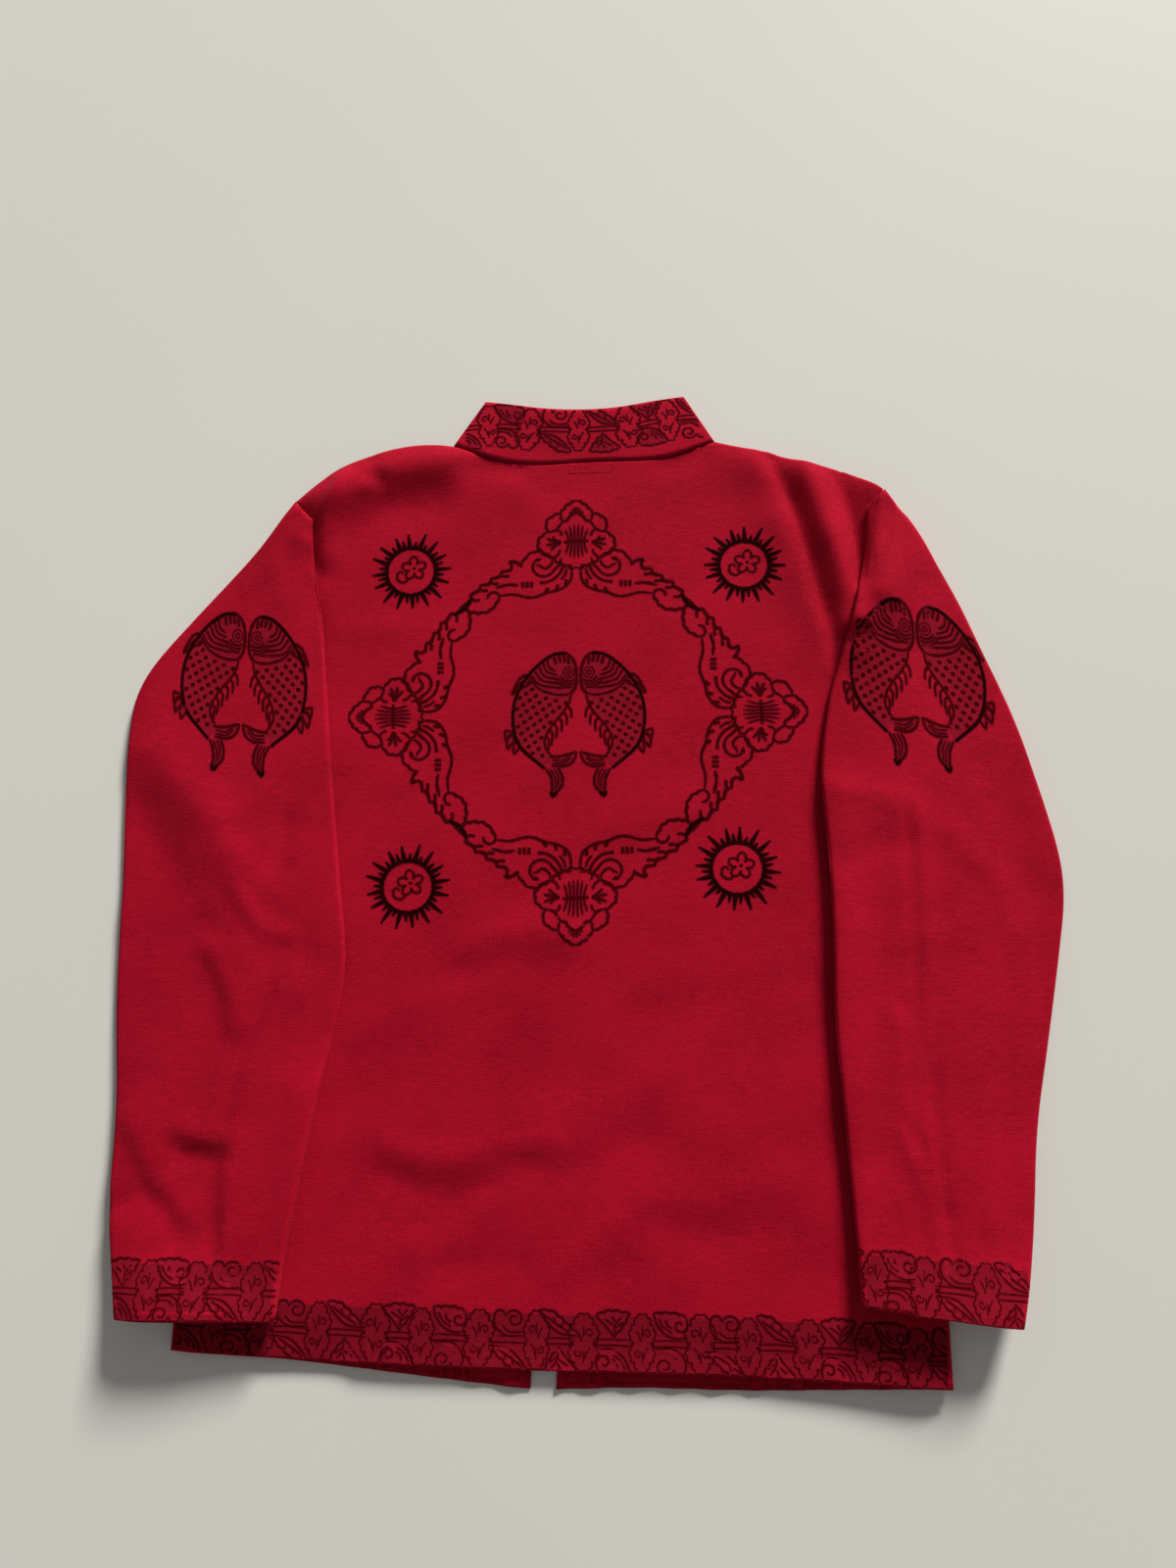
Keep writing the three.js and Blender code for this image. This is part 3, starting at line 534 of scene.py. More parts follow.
def turned(degrees, mirrored=False):
    """The matrix of a turn, after a flip from left to right where it is mirrored."""
    c, s = math.cos(math.radians(degrees)), math.sin(math.radians(degrees))
    flip = np.diag([-1.0 if mirrored else 1.0, 1.0])
    return np.array([[c, -s], [s, c]]) @ flip


MIRROR = turned(0, mirrored=True)


def printed(name, cloth, marks):
    """The marks as ink on the cloth."""
    return laid_on(name, cloth, marks, INK_HEIGHTS, INK_MATERIALS)


def sun():
    """A ring with its rays, and the blossom on its stem inside it."""
    ring = arc((0, 0), (SUN_RING, SUN_RING), 0, 360)
    marks = stroke(ring, SUN_RING_WIDTH, (1, 1), ink="heavy")
    for i in range(SUN_RAYS):
        angle = 2 * math.pi * i / SUN_RAYS
        tip = SUN_TIPS[i % 2] * (1 + 0.04 * math.sin(2.3 * i))
        lean = 0.03 * math.sin(1.7 * i)
        root = np.array([math.cos(angle), math.sin(angle)]) * SUN_RING
        point = np.array([math.cos(angle + lean), math.sin(angle + lean)]) * tip
        path = resampled(np.stack([root, point]), 7)
        half = 0.5 * np.linspace(*SUN_RAY_WIDTHS, 7)[:, None] * (SHORT_RAY if i % 2 else 1.0)
        marks += [("bleed", strip(path, half + RAY_BLEED)), ("heavy", strip(path, half))]
    petal = stroke(arc((5.6, 0), (4.2, 3.2), -135, 135), 1.6)
    for i in range(BLOSSOM_PETALS):
        marks += moved(petal, turned(360 / BLOSSOM_PETALS * i + 18), BLOSSOM_PLACE)
    marks += dot(BLOSSOM_PLACE, (1.6, 1.5))
    marks += stroke(curve([(-1, -5), (-6, -8.5), (-11, -6), (-11, -1), (-8, 0.5), (-6.5, -2)]), 1.7)
    return marks


for i, (x, y, turn) in enumerate(SUN_PLACES):
    printed(f"sun_{i + 1}", back, moved(sun(), turned(turn), (x, y)))

# --------------------------------------------------------------------- the fish on the back
# A pair of fish, an old sign of good luck, is stamped in the middle of the back. They face
# each other, with striped heads, dotted scales and tails that meet below. The block is carved
# as one fish and its mirror image.
FISH_SHAPE = ((0.95, 0), (0, 1.03))
FISH_PLACE = (-2, 101.5)
FISH_BACK = [(-11, 54.5), (-21, 53), (-32, 46), (-42, 36), (-50, 23)]
FISH_BACK += [(-53.5, 8), (-52, -8), (-46, -20), (-27, -35.5)]
FISH_FACE = [(-11, 54.5), (-6, 51), (-2.6, 44), (-1.8, 36), (-2.6, 28), (-6, 23)]
FISH_BELLY = [(-6, 23), (-8, 15), (-13, 7.5), (-21, -1.5), (-26.5, -10.5), (-27, -18), (-21, -27)]
FISH_GILL = [(-41, 36), (-33, 27), (-22, 22.5), (-12, 21.5), (-6, 23)]
FISH_EYE = (-8.4, 39)
HEAD_STRIPES = 5
SCALE_STEPS = ((5.1, 3.3), (3.0, -5.2))  # from one scale to the next, both ways
SCALE_SIZE = (2.15, 1.65)
SCALE_TURN = 0.35
SCALE_MARGIN = 2.3
SCALES_FROM = (-31, 2)
SCALE_ROWS = 16  # on each side of the first
SCALES_TOP = 37
BELLY_HAIRS = 6
WASH_STEP = 3.0  # between the points of a wash of ink


def between(one, other):
    """A wash of ink between two paths that run the same way."""
    count = max(3, int(max(length_of(one), length_of(other)) / WASH_STEP))
    one, other = resampled(one, count), resampled(other, count)
    widest = np.hypot(*(one - other).T).max()
    t = np.linspace(0, 1, max(2, int(widest / WASH_STEP) + 1))[None, :, None]
    return [("wash", one[:, None] * (1 - t) + other[:, None] * t)]


def leaf(one, other, width=LINE):
    """A shape between two paths: its outline and its wash."""
    return stroke(one, width) + stroke(other, width) + between(one, other)


def inside(rim, x, y):
    """Whether a point is inside a closed line."""
    turns = 0.0
    for (ax, ay), (bx, by) in zip(rim, np.roll(rim, -1, axis=0)):
        turn = math.atan2(by - y, bx - x) - math.atan2(ay - y, ax - x)
        turns += math.remainder(turn, 2 * math.pi)
    return abs(turns) > math.pi


def fish():
    """The left fish, which faces right."""
    spine, face, belly, gill = map(curve, (FISH_BACK, FISH_FACE, FISH_BELLY, FISH_GILL))
    marks = between(spine, np.concatenate([face, belly[1:]]))
    marks += stroke(spine, 2.4, (1, 1), ink="heavy") + stroke(face, 2.3, (1, 1))
    marks += stroke(belly, 1.8) + stroke(gill, 1.7)
    # the head
    for i in range(HEAD_STRIPES):
        t = i / (HEAD_STRIPES - 1)
        start = (-26 - 13 * t, 50 - 13 * t)
        middle = (-24.5 - 7 * t, 43.5 - 14 * t)
        end = (-19 + 7 * t, 40 - 13.5 * t)
        marks += stroke(curve([start, middle, end]), 1.7, (1, 0.3))
    for x, y in ((-20.5, 51.5), (-16.5, 53), (-12.5, 53.2), (-8.8, 51.6)):
        marks += stroke(curve([(x, y), (0.9 * x, y - 6.5)]), 2.3, (1, 0.3))
    for radius, width in ((4.3, 1.0), (2.0, 0.9)):
        marks += stroke(arc(FISH_EYE, (radius, radius), 0, 360), width, (1, 1), bleed=0.8)
    marks += dot(FISH_EYE, (0.8, 0.8))
    for i in range(3):
        reach = 7.0 + 2.3 * i
        marks += stroke(arc(FISH_EYE, (reach, reach), 200 + 4 * i, 312 - 14 * i), 1.6, (0.3, 1))
    # the scales
    body = np.concatenate([gill, belly[1:], spine[::-1]])
    body = body[body[:, 1] < SCALES_TOP]
    rows = range(-SCALE_ROWS, SCALE_ROWS + 1)
    for i in rows:
        for j in rows:
            x, y = (
                i * one + j * other + first
                for one, other, first in zip(*SCALE_STEPS, SCALES_FROM)
            )
            if inside(body, x, y) and beside(body, x, y)[0] > SCALE_MARGIN:
                marks += dot((x, y), SCALE_SIZE, SCALE_TURN)
    # the tail: one lobe to the middle, one down
    marks += leaf(
        curve([(-24, -26.3), (-15.5, -26.2), (-7.5, -24.4), (-1.2, -22.6)]),
        curve([(-21.8, -33), (-11.5, -33.6), (-4.4, -30), (-1.2, -22.6)]),
        1.9,
    )
    for y in (-28.6, -31.0):
        marks += stroke(curve([(-21, y), (-12.5, y - 0.6), (-5.8, y + 4)]), 1.3)
    marks += leaf(
        curve([(-26, -35.3), (-22, -42), (-21.2, -49), (-21, -55.5)]),
        curve([(-16.5, -35), (-13.2, -41), (-13.6, -49), (-21, -55.5)]),
        2.1,
    )
    marks += stroke(curve([(-22.5, -36), (-18.6, -43), (-18.4, -52)]), 1.3)
    marks += stroke(curve([(-19.5, -35.5), (-16.2, -41.5), (-16.4, -50)]), 1.3)
    marks += stroke(curve([(-22.6, -52.5), (-20.5, -56), (-17, -53)]), 2.6, ink="heavy")
    # a fin on the back, and the petals of one near the tail
    fin = curve([(-40, 38), (-48, 34.5), (-55, 22)])
    marks += leaf(fin, curve([(-38.5, 31), (-46, 27.5), (-55, 22)]), 2.2)
    marks += stroke(curve([(-41, 34.5), (-47.5, 31), (-52, 25.5)]), 1.4)
    for x, y in ((-59, -14), (-57.5, -20.5), (-52.5, -24.5)):
        one = curve([(-52, -8), (x - 0.5, y + 8), (x, y)])
        marks += leaf(one, curve([(-47.5, -15.5), (x + 4, y + 5), (x, y)]), 1.8)
    # hairs below the belly
    belly_run = resampled(belly, 100)
    for i in range(BELLY_HAIRS):
        x, y = belly_run[18 + 10 * i]
        tip = (x + 3.4 - 0.4 * i, y - 9.5 - 0.8 * i)
        marks += stroke(curve([(x, y), (x + 2.8, y - 3.5), tip]), 1.8, (1, 0.5))
    return marks


FISH_PAIR = fish() + moved(fish(), MIRROR)
printed("fish_back", back, moved(FISH_PAIR, FISH_SHAPE, FISH_PLACE))

# ------------------------------------------------------------------- the wreath on the back
# A diamond of leafy scrolls frames the middle of the back, with an open flower at each of its
# four points. One block prints a flower and the two scrolls beside it, four times over.
WREATH_CENTRE = (-4, 108)
WREATH_TURNS = (0, 90, 180, 270)
FLOWER_FOOT = 119.5  # from the wreath's centre
FLOWER_STRIPES = 6
LEAF_TIPS = 5


def scalloped(path, lobes, depth):
    """The path with round lobes that swell to its left."""
    path = resampled(path, int(length_of(path) / STEP) + 8 * lobes)
    swell = depth * np.abs(np.sin(math.pi * lobes * np.linspace(0, 1, len(path)))) ** 0.8
    return path + swell[:, None] * sideways(path)


def leafy(path, tips, depth):
    """The path with leaf tips that lean along it and stand out to its left."""
    path = resampled(path, int(length_of(path) / STEP) + 10 * tips)
    phase = tips * np.linspace(0, 1, len(path)) % 1
    swell = depth * np.where(phase < 0.72, (phase / 0.72) ** 1.6, (1 - phase) / 0.28)
    return path + swell[:, None] * sideways(path)


def curl(centre, radius, start, turns, tight=0.25):
    """A spiral that winds in from an angle in degrees; turns below 0 go clockwise."""
    count = max(9, int(abs(turns) * 4 * radius / STEP))
    t = np.linspace(0, 1, count)
    angle = math.radians(start) + 2 * math.pi * turns * t
    reach = radius * (1 - (1 - tight) * t)
    return np.stack([centre[0] + reach * np.cos(angle), centre[1] + reach * np.sin(angle)], 1)


def joined(path, other):
    """The path, running on into the other."""
    return np.concatenate([path[:-1], other])


def flower():
    """The left half of an open flower that points up, from its foot at 0, 0."""
    marks = stroke(scalloped(curve([(-12.5, 46.5), (-7.5, 53), (0, 57.5)]), 3, 1.1), 1.9)
    marks += stroke(curve([(-11, 40), (-7.5, 41), (-5, 44.5), (0, 48)]), 2.3, (0.6, 1))
    for x, y in ((-5.6, 48.5), (-3.4, 51), (-1.2, 52.4)):
        marks += stroke(curve([(0.62 * x, 46.2), (x, y)]), 1.5, (1, 0.2))
    petal = curve([(-21.3, 31), (-23.8, 37.5), (-20, 43.5), (-12.5, 46.5)])
    marks += stroke(scalloped(petal, 3, 1.0), 1.9)
    marks += stroke(curve([(-21.3, 31), (-16, 33.2), (-11, 40)]), 1.7)
    marks += stroke(curve([(-12.5, 46.5), (-12.4, 43), (-11, 40)]), 1.7)
    petal = curve([(-17, 10), (-25.5, 13), (-30, 20.5), (-27.5, 27), (-21.3, 31)])
    marks += stroke(scalloped(petal, 5, 1.2), 1.9)
    marks += stroke(curve([(-16, 33.2), (-12.8, 31.4), (-11.6, 27.4)]), 1.7, (1, 0.3))
    marks += stroke(curve([(-17, 10), (-14.2, 12.4), (-12.8, 16.4)]), 1.7, (1, 0.3))
    for x, y in ((-19, 27.5), (-23.5, 26), (-24, 20), (-20.5, 15.5)):
        vein = curve([(-12.6, 22.3), (0.5 * x - 7.5, 0.5 * y + 10.8), (x, y)])
        marks += stroke(vein, 2.0, (1, 0.2))
    marks += dot((-14.2, 22.3), (2.6, 1.9))
    marks += stroke(scalloped(curve([(0, 1.4), (-6, 3), (-12, 5.5), (-17, 10)]), 3, 2.3), 1.9)
    return marks


def heart_of_flower():
    """The striped heart of the flower, and the bar across it."""
    marks = []
    for i in range(FLOWER_STRIPES):
        x = 3.1 * (i - (FLOWER_STRIPES - 1) / 2)
        top, foot = 37.5 - 0.07 * x * x, 8.5 + 0.06 * x * x
        marks += stroke(curve([(1.15 * x, top), (0.8 * x, 23), (1.1 * x, foot)]), 1.4, (0.3, 0.3))
    marks += stroke(curve([(-10, 22.3), (0, 23), (10, 23.2)]), 2.8, (0.4, 0.4))
    return marks


def scroll():
    """The scroll to the right of the top flower, as far as the wreath's corner."""
    top = curve([(19, 128), (25, 132), (32, 134), (38, 131), (43.8, 123.3)])
    marks = stroke(scalloped(top, 4, 0.9), 1.9)
    marks += stroke(curve([(43, 122), (47.5, 125.2), (53.5, 126.6)]), 2.5, (1, 0.8))
    marks += stroke(curve([(53.5, 126.6), (51.6, 123.2), (51.8, 119.6)]), 2.3, (1, 0.8))
    # the leaf's back, with its tips and the cuts between them
    rim = [(51.5, 119.5), (60, 114.5), (69, 108), (77.5, 102.5), (82.5, 96), (88, 86.5)]
    rim = leafy(curve(rim), LEAF_TIPS, 2.6)
    marks += stroke(rim, 2.4, (0.8, 1.2))
    for i in range(1, LEAF_TIPS):
        x, y = rim[int(i * len(rim) / LEAF_TIPS) - 1]
        marks += stroke(curve([(x + 0.5, y), (x - 3.5, y - 1.2), (x - 7, y - 0.6)]), 2.2, (1, 0.2))
    marks += stroke(curve([(82.5, 97), (85.5, 91.5), (88.5, 86)]), 3.2, (0.6, 1), ink="heavy")
    # the coil and the fronds round it
    coil = curl((27.2, 122.4), 10.3, -158, 0.68, 0.55)
    marks += stroke(joined(curve([(11.8, 128.6), (13.2, 123.6), (17.4, 118.7)]), coil), 1.9)
    marks += dot((30.6, 127.4), (2.2, 1.7), 0.4)
    frond = [(19, 128), (19.3, 124.6), (22.3, 121), (25.8, 120), (28.4, 122), (32, 123.4)]
    marks += stroke(curve(frond), 1.7)
    frond = [(9.6, 124), (12.3, 117.2), (16.6, 112), (22, 108.8), (29, 107.8)]
    marks += stroke(curve(frond), 2.1, (0.7, 1))
    marks += stroke(curve([(7.4, 119.5), (9, 114.5), (12.2, 110.2)]), 1.7, (0.5, 0.9))
    foot = [(4.2, 123.5), (3.6, 114.5), (6, 107), (13, 102), (24, 99.2)]
    foot += [(32, 96.2), (39, 96), (50, 98.6), (61, 97.6)]
    marks += stroke(curve(foot), 1.9)
    for points in (
        [(8, 105.2), (8.2, 111)],
        [(15.6, 101.4), (14.4, 106.4)],
        [(24.4, 99), (22, 103.8)],
    ):
        marks += stroke(curve(points), 2.6, (1, 0.3))
    for x in (35, 38.5, 42):
        marks += stroke(curve([(x, 103.6), (x + 0.5, 106.4), (x, 109.2)]), 2.2)
    marks += stroke(curve([(46, 106), (54, 106.8), (64, 104.4)]), 2.1, (0.8, 0.3))
    # the corner: a small curl and a scalloped hook
    marks += stroke(curve([(60.8, 96.6), (62.4, 99.8), (66, 100.7), (69.4, 98.8), (70.4, 95)]), 1.8)
    hook = curve([(87, 85.6), (78, 84.4), (70.5, 85.2), (65, 89.5), (61, 97.4)])
    return marks + stroke(scalloped(hook, 5, 1.0), 2.1)


block = flower() + moved(flower(), MIRROR) + heart_of_flower()
block = moved(block, turned(0), (0, FLOWER_FOOT)) + scroll() + moved(scroll(), MIRROR)
wreath = [mark for turn in WREATH_TURNS for mark in moved(block, turned(turn), WREATH_CENTRE)]
printed("wreath", back, wreath)

# ----------------------------------------------------------------- the band along the hem
# The same narrow block runs along the hem of the back, round both cuffs and round the collar:
# lobed knots on a double stem, with leaves and curls above and below it by turns.
BAND_HEIGHT = 38
BAND_PITCH = 38
BAND_LINE = 1.15
BAND_UNEVEN = 3.0  # how far along the band a block is out of its place
FILL_RISE = 9.4  # of the middle of a leaf or curl, over or under the stem
STEM_RISE = 1.9
STEM_START = 6.4  # from a knot's middle
STAIN_SHORT = 3  # how much narrower than the band its stain is
HEM_BAND = [(-287, -333), (-200, -338), (-83, -342), (32, -344), (139, -346), (251, -351)]


def knot():
    """A lobed knot with two curls and four small leaves in it."""
    half = [(0, 18.4), (4.6, 16.6), (6.4, 12.4), (9.6, 8.6), (9.8, 3.6), (7, 0)]
    half += [(9.4, -4), (9, -9), (5.6, -12.6), (4, -16.4), (0, -18.6)]
    one = scalloped(curve(half), 10, 1.7)
    marks = stroke(one, BAND_LINE) + stroke(one * [-1, 1], BAND_LINE)
    marks += stroke(curl((4.4, 6.4), 3.4, 200, -1.1), 1.1)
    marks += stroke(curl((-4.2, -6), 3.2, 20, -1.1), 1.1)
    for x, y in ((-5.4, 5), (0, 8), (5.2, -5.6), (0.6, -8.4)):
        marks += stroke(curve([(0.2 * x, y - 4), (0.5 * x, y), (x, y + 3.4)]), 1.1, (1, 0.3))
    return marks


def curled_leaf():
    top = scalloped(curve([(-10.5, 9), (-4, 9.4), (3, 9.2), (8.5, 7)]), 4, 0.9)
    foot = curve([(-10.5, 9), (-8, 2.5), (-3, -3), (3, -5), (9, -4)])
    marks = leaf(top, foot, BAND_LINE)
    marks += stroke(joined(curve([(8.5, 7), (9.6, 3.5)]), curl((5, 2.6), 4.4, 10, -1.0)), 1.1)
    marks += stroke(curve([(-7.5, 6.5), (-4.5, 1.5), (0.5, -2)]), 1.0)
    return marks + stroke(curve([(-3, 6), (-2.5, 3), (0.5, 0.6)]), 1.0)


def heart_curl():
    left = curve([(9, -5.5), (0, -6), (-6, -2.5), (-8.4, 3), (-6.6, 8.4), (-2.8, 8.4), (-1.4, 5.4)])
    marks = stroke(left, BAND_LINE)
    right = joined(curve([(-1.4, 5.4), (0.4, 8.6)]), curl((3.8, 4), 5.3, 128, -1.25))
    marks += stroke(right, 1.1)
    marks += stroke(curve([(-3.5, 0), (1, -3.6), (9, -3.4)]), 1.0)
    return marks + between(left[:12], resampled(np.array([(9, -3.6), (2, -3.6), (-3, 0)]), 12))


def pointed_leaf():
    top = scalloped(curve([(-12.5, 9), (-5, 8.6), (2, 3), (11, -5)]), 5, 1.1)
    foot = curve([(-12.5, 9), (-7, 2), (0, -3.6), (11, -5)])
    marks = leaf(top, foot, BAND_LINE) + stroke(curve([(-9.5, 7), (-2, 1.6), (6, -3.4)]), 1.1)
    return marks + stroke(curve([(-4, 6), (-3, 3)]), 0.9) + stroke(curve([(1, 3), (1.4, 0)]), 0.9)


def veined_leaf():
    top = scalloped(curve([(-10, 7), (-3, 9.6), (4, 9.4), (10, 8.4)]), 4, 1.0)
    foot = scalloped(curve([(10, 8.4), (6.6, 1.6), (1, -5.4)]), 3, -0.9)[::-1]
    marks = stroke(curve([(-10, 7), (-4, 1), (1, -5.4)]), BAND_LINE)
    marks += between(top, np.concatenate([curve([(-10, 7), (-4, 1), (1, -5.4)]), foot[1:]]))
    marks += stroke(top, BAND_LINE) + stroke(foot, BAND_LINE)
    marks += stroke(curve([(5, 7), (1.6, 2.4), (0.8, -3)]), 1.0)
    for x, y in ((-5, 5.4), (-0.6, 7.4), (6, 4)):
        marks += stroke(curve([(1.2 + 0.1 * x, y - 3.6), (x, y)]), 0.9)
    return marks


BAND_FILLS = (veined_leaf, curled_leaf, heart_curl, pointed_leaf)
FILL_SHAPE = ((1.2, 0), (0, 1.12))


def band(points, start=0, height=BAND_HEIGHT, stained=True):
    """The band along a middle line; left of the line is its upper side. Where it is stained, the
    ink has run into the cloth between its lines."""
    path = curve(points)
    length = length_of(path)
    fine = resampled(path, int(length / STEP))
    up = sideways(fine)
    run = np.linspace(0, length, len(fine))
    flat = []
    for i in range(int(length / BAND_PITCH) + 2):
        x, after = (BAND_PITCH * k - start + BAND_UNEVEN * math.sin(2.1 * k) for k in (i, i + 1))
        middle = 0.5 * (x + after)
        slim = np.diag([0.8 if i % 2 else 0.95, 1.0])
        flat += moved(knot(), slim @ turned(0, mirrored=i % 3 == 1), (x, 0.8 * math.sin(2.1 * i)))
        over, under = (BAND_FILLS[k % len(BAND_FILLS)]() for k in (i, i + 1))
        flat += moved(over, FILL_SHAPE, (middle, FILL_RISE))
        flat += moved(under, np.array(FILL_SHAPE) @ turned(180), (middle, -FILL_RISE))
        for y in (STEM_RISE, -STEM_RISE):
            stem = [(x + STEM_START, y), (middle, y + 0.4), (after - STEM_START, y)]
            flat += stroke(curve(stem), BAND_LINE)
    marks = []
    if stained:
        across = np.linspace(-0.5, 0.5, 13) * (height - STAIN_SHORT)
        spots = fine[::2, None] + across[None, :, None] * up[::2, None]
        marks.append(("stain", spots))
    for ink, grid in flat:
        u, v = grid[..., 0], grid[..., 1] * height / BAND_HEIGHT
        spots = [np.interp(u, run, fine[:, k]) + v * np.interp(u, run, up[:, k]) for k in (0, 1)]
        spots = np.stack(spots, -1)
        spots[(u < 0) | (u > length)] = np.nan
        marks.append((ink, spots))
    return marks


printed("hem_band", back, band(HEM_BAND, start=12))

# --------------------------------------------------------------------- the label's stitches
# A label is sewn to the inner face of the back, below the collar, and can't be seen. Its four
# lines of running stitches come through to the outside, in thread of the cloth's colour.
LABEL_STITCHES = [(-10, 309), (25, 309.5), (25.5, 319), (-10.5, 318.5), (-10, 309)]
STITCH_PITCH = 2.9
STITCH_SHARE = 0.72  # of a pitch, with a gap after it


def running_stitches(corners):
    """Stitches along straight lines from corner to corner, with a gap after each."""
    marks = []
    for a, b in zip(corners, corners[1:]):
        spots = resampled(np.array([a, b], float), max(2, int(math.dist(a, b) / STITCH_PITCH)))
        for start, end in zip(spots, spots[1:]):
            marks.append(stitch(start, start + STITCH_SHARE * (end - start)))
    return marks


label_stitches = stitched("label_stitches", back, running_stitches(LABEL_STITCHES))

# ------------------------------------------------------------------------------ the sleeves
# Each sleeve is one panel of the cotton, closed under the arm, set into the armhole, and printed
# with the fish and, round its cuff, the band. It lies folded flat over the side of the body, so
# its under layer is on the back, and its upper layer keeps soft creases from the elbow down.
SLEEVE_CREASES = {
    "sleeve_left": [
        # round the elbow
        ([(-336, 84), (-306, 54), (-280, 26), (-262, -6), (-248, -34)], 17, 2.2),
        ([(-346, 40), (-322, 8), (-300, -24)], 16, -1.4),
        ([(-204, 34), (-211, 14), (-216, -2)], 5, 1.3),
        ([(-224, 26), (-229, 4), (-234, -8)], 6, -1.2),
        ([(-264, 18), (-256, 12)], 6, -1.0),
        ([(-276, 30), (-252, 38), (-236, 50)], 5, 0.9),
        ([(-262, 4), (-240, 14), (-226, 40)], 5, 0.8),
        ([(-252, -18), (-242, -38), (-226, -46)], 5, -1.0),
        ([(-258, -30), (-240, -56), (-218, -62)], 5, 0.9),
        ([(-246, -66), (-230, -58), (-214, -60)], 4, 0.7),
        ([(-284, -34), (-264, -52), (-252, -76)], 7, 1.0),
        ([(-290, -60), (-270, -84), (-259, -110), (-254, -144)], 17, 2.6, 5),
        # down the forearm, to the fold beside the cuff
        (
            [(-210, -74), (-228, -124), (-242, -162), (-250, -200), (-253, -226), (-250, -300)],
            24,
            3.6,
            6,
        ),
        ([(-302, -200), (-276, -208), (-248, -212)], 14, 3.2, 5.5),
        ([(-288, -219), (-268, -220), (-256, -221)], 6, -1.6),
        ([(-336, -184), (-318, -214), (-298, -244), (-266, -274)], 22, 3.4, 9),
        ([(-340, -256), (-314, -246), (-296, -254)], 6, -1.4),
        ([(-330, -268), (-300, -276)], 9, 0.9),
        # below the shoulder
        ([(-216, 214), (-210, 182), (-212, 150)], 9, -1.0),
        ([(-246, 234), (-238, 206)], 9, 0.8),
    ],
    "sleeve_right": [
        # the cap, sunk beside its seam, and the fold that leans over it
        ([(274, 290), (255, 257), (240, 230), (227, 204), (209, 169), (194, 138)], 24, 5.0, 8),
        ([(238, 268), (236, 246), (230, 222), (223, 200)], 8, -3.0),
        ([(284, 216), (272, 190)], 10, -0.7),
        # the pressed crease and the soft folds beside it
        ([(243, 32), (244, -40), (243, -112), (248, -190)], 3.6, -1.4),
        ([(252, 30), (253, -40), (253, -100)], 7, 1.0),
        ([(258, -98), (253, -150), (252, -204), (257, -290)], 4, -1.2),
        ([(236, -112), (236, -160), (240, -206)], 5, -1.2),
        ([(228, -194), (234, -204), (240, -216)], 3.4, -1.2),
        ([(224, -200), (230, -212), (234, -224)], 3.4, 0.7),
        ([(232, -236), (236, -262), (238, -284)], 6, -0.9),
        ([(200, 44), (222, 40), (240, 34)], 9, 1.4),
        ([(196, -8), (218, 4), (240, 6)], 11, -1.4),
        ([(276, 12), (292, -8), (306, -26)], 11, 1.3),
        ([(262, -50), (280, -36), (292, -22)], 10, -1.3),
        ([(222, -116), (228, -128)], 6, 1.0),
        ([(300, 60), (322, 20), (330, -30)], 15, -1.0),
        ([(320, -60), (322, -120), (312, -180)], 9, 0.8),
        ([(206, -96), (204, -60)], 10, 0.8),
        ([(250, -256), (262, -260)], 5, -0.8),
        ([(290, -180), (282, -226), (286, -262)], 10, 1.0),
    ],
}
SLEEVE_RUMPLES = [(90, 44, 64, 1.1), (34, 20, 48, 0.4), (14, 8, 30, 0.1)]
# where a sleeve stands off what it lies on, its upper layer more than the other: along its
# inner fold, and at its cuff
SLEEVE_LIFTS = {
    "sleeve_left": [
        ([(-196, -180), (-206, -250), (-212, -300)], 20, 3.0),
        ([(-300, -332), (-252, -334), (-222, -336)], 30, 10.0),
    ],
    "sleeve_right": [
        ([(190, 40), (188, -100), (190, -230), (192, -280)], 18, 4.0),
        ([(196, -324), (240, -327), (284, -331)], 30, 10.0),
    ],
}
# at the shoulder, the end of its seam is drawn in to the back: where, and how far along X and Y
SLEEVE_TURNS = {
    "sleeve_left": ((-232, 289), (1.7, 0.3)),
    "sleeve_right": ((238, 286), (-1.5, -1.2)),
}
SLEEVE_TURN_REACH = 9
LIFT_OF_UNDER_LAYER = 0.55
SEAM_PRESSED = 12  # how far from its seam a sleeve's upper layer is pressed flat
# flat cut of a sleeve, all round: width, length and area, in metres
SLEEVE_CUTS = {"sleeve_left": (0.33, 0.62, 0.1717), "sleeve_right": (0.31, 0.61, 0.156)}
UPPER_LAYER = (0.4, 0.8)  # from where to where in its height a sleeve takes its creases
SLEEVE_FISH_SHAPE = ((0.94, 0), (-0.14, 1.17))
SLEEVE_FISH_PLACES = {"sleeve_left": (-265, 129), "sleeve_right": (257, 127)}
CUFF_BANDS = {
    "sleeve_left": ([(-338, -311), (-270, -310), (-205, -312)], 5),
    "sleeve_right": ([(184, -299), (248, -304), (314, -311)], 22),
}

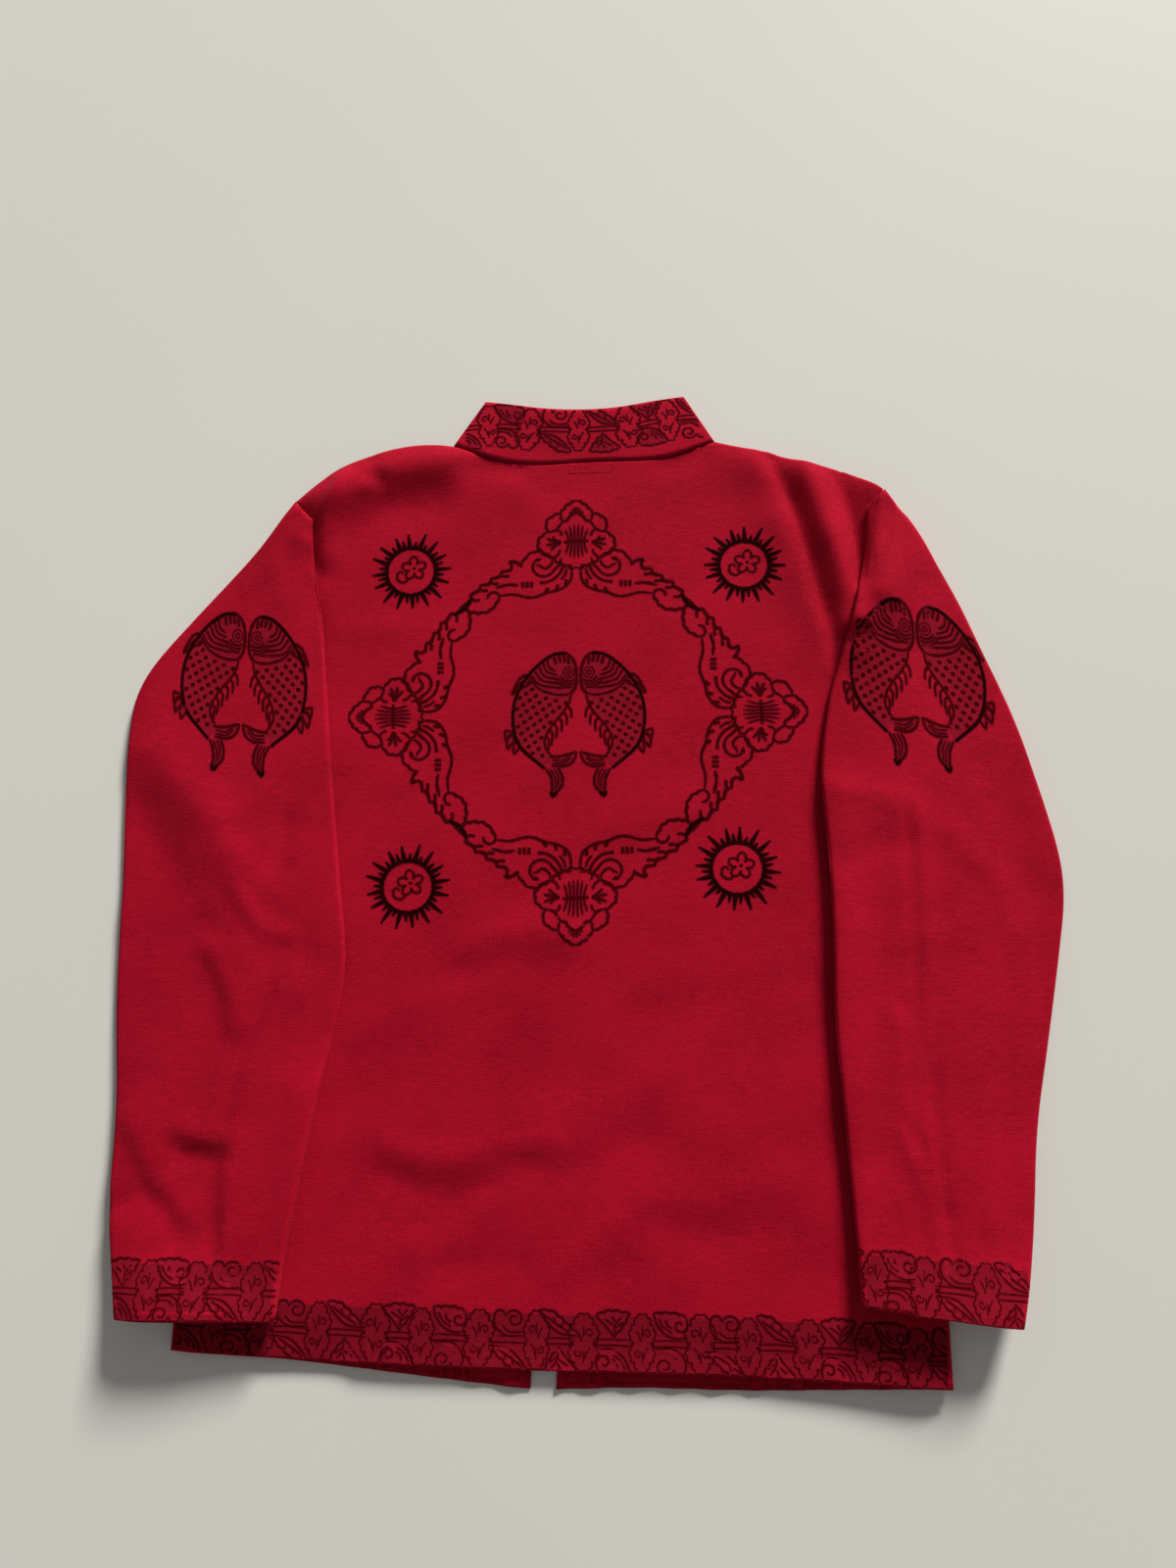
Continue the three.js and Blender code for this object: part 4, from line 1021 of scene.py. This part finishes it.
for node, (width, length, area) in SLEEVE_CUTS.items():
    sleeve = sewn_piece(node)
    p = points_of(sleeve)
    x, y = p[:, 0], p[:, 1]
    foot = face_over(sleeve, p, False)
    deep = np.maximum(face_over(sleeve, p, True) - foot, 0.1)
    low, high = UPPER_LAYER
    upper = np.clip(((p[:, 2] - foot) / deep - low) / (high - low), 0, 1)
    air = np.maximum(deep - 2 * CLOTH - LEAST_AIR, 0)
    move = creases(SLEEVE_CREASES[node], x, y) + rumples(SLEEVE_RUMPLES, x, y)
    move *= np.clip(from_seam(x, y) / SEAM_PRESSED, 0, 1)
    p[:, 2] += upper * np.maximum(move, -air)
    # the whole sleeve follows the creases of the back that it lies on
    p[:, 2] += np.maximum(creases(BACK_CREASES, x, y) + rumples(BACK_RUMPLES, x, y), 0)
    share = LIFT_OF_UNDER_LAYER + (1 - LIFT_OF_UNDER_LAYER) * upper
    p[:, 2] += share * creases(SLEEVE_LIFTS[node], x, y)
    (turn_x, turn_y), drawn = SLEEVE_TURNS[node]
    close = np.exp(-(((x - turn_x) ** 2 + (y - turn_y) ** 2) / SLEEVE_TURN_REACH**2))
    p[:, :2] += close[:, None] * drawn
    set_points(sleeve, p)
    pair = moved(FISH_PAIR, SLEEVE_FISH_SHAPE, SLEEVE_FISH_PLACES[node])
    line, start = CUFF_BANDS[node]
    prints = [
        printed(f"fish_{node}", sleeve, pair),
        printed(f"cuff_band_{node}", sleeve, band(line, start)),
    ]

# ------------------------------------------------------------------------------ the collar
# The stand collar is two layers of the cotton with an interlining, sewn round the neck and
# pressed flat, so its back half lies over its front halves. The band is printed on it before
# it is cut, so the band's top is lost in the collar's upper edge.
COLLAR_BAND = [(-96, 350), (-70, 352), (-34, 348), (2, 346.5), (36, 348), (70, 354), (98, 356)]
COLLAR_BAND_HEIGHT = 36

collar = sewn_piece("collar")
collar_marks = band(COLLAR_BAND, 20, COLLAR_BAND_HEIGHT, stained=False)
collar_band = printed("collar_band", collar, collar_marks)

# ------------------------------------------------------------------------------ the room
# A plain pale floor, a soft lamp far off beyond the collar and to the right, and a camera that
# looks down at the jacket from below its middle. The floor and the lamp are sized in metres.
FLOOR_SIZE = 6.0
FLOOR_DROP = 0.0004  # below the cloth
FLOOR_COLOUR = (0.70, 0.685, 0.635)
FLOOR_SHADE = 0.95  # its darkest patches, as a share of its colour
FLOOR_PATCH = 400  # in millimetres, as the camera's place is
LAMP_PLACE = (6.6, 14.1, 6.7)
LAMP_SIZE = 4.6
LAMP_POWER = 4900
LAMP_COLOUR = (1.0, 0.985, 0.95)
SKY = 0.22
CAMERA_PLACE = (52.9, -140.6, 914.3)
CAMERA_TARGET = (5, 54, 0)
CAMERA_LENS = 28.035

bpy.ops.mesh.primitive_plane_add(size=FLOOR_SIZE, location=(0, 0, -FLOOR_DROP))
floor = bpy.context.object
floor.name = "floor"
painted = bpy.data.materials.new("painted floor")
painted.use_nodes = True
tree = painted.node_tree
surface = tree.nodes["Principled BSDF"]
wear = stretched_noise(tree, add(tree, "TexCoord").outputs["Object"], [FLOOR_PATCH] * 3, 5.0)
tone = add(tree, "ValToRGB", {"Fac": wear})
tone.color_ramp.elements[0].color = (*[FLOOR_SHADE * c for c in FLOOR_COLOUR], 1)
tone.color_ramp.elements[1].color = (*FLOOR_COLOUR, 1)
tree.links.new(tone.outputs[0], surface.inputs["Base Color"])
surface.inputs["Roughness"].default_value = 0.6
surface.inputs["Specular IOR Level"].default_value = 0.15
floor.data.materials.append(painted)

light = bpy.data.lights.new("window", "AREA")
light.shape = "DISK"
light.size = LAMP_SIZE
light.energy = LAMP_POWER
light.color = LAMP_COLOUR
window = bpy.data.objects.new("window", light)
window.location = LAMP_PLACE
window.rotation_euler = (-Vector(LAMP_PLACE)).to_track_quat("-Z", "Y").to_euler()
bpy.context.scene.collection.objects.link(window)

world = bpy.data.worlds.new("room")
world.use_nodes = True
world.node_tree.nodes["Background"].inputs["Color"].default_value = (1.0, 1.0, 1.0, 1)
world.node_tree.nodes["Background"].inputs["Strength"].default_value = SKY
bpy.context.scene.world = world
bpy.context.scene.view_settings.view_transform = "Standard"

lens = bpy.data.cameras.new("camera")
lens.sensor_width = 36
lens.lens = CAMERA_LENS
lens.clip_start = 0.05
camera = bpy.data.objects.new("camera", lens)
back_axis = (Vector(CAMERA_PLACE) - Vector(CAMERA_TARGET)).normalized()
side_axis = Vector((0, 1, 0)).cross(back_axis).normalized()
turn = Matrix((side_axis, back_axis.cross(side_axis), back_axis)).transposed()
camera.matrix_world = Matrix.Translation(Vector(CAMERA_PLACE) * MM) @ turn.to_4x4()
bpy.context.scene.collection.objects.link(camera)
bpy.context.scene.camera = camera

bpy.context.view_layer.update()
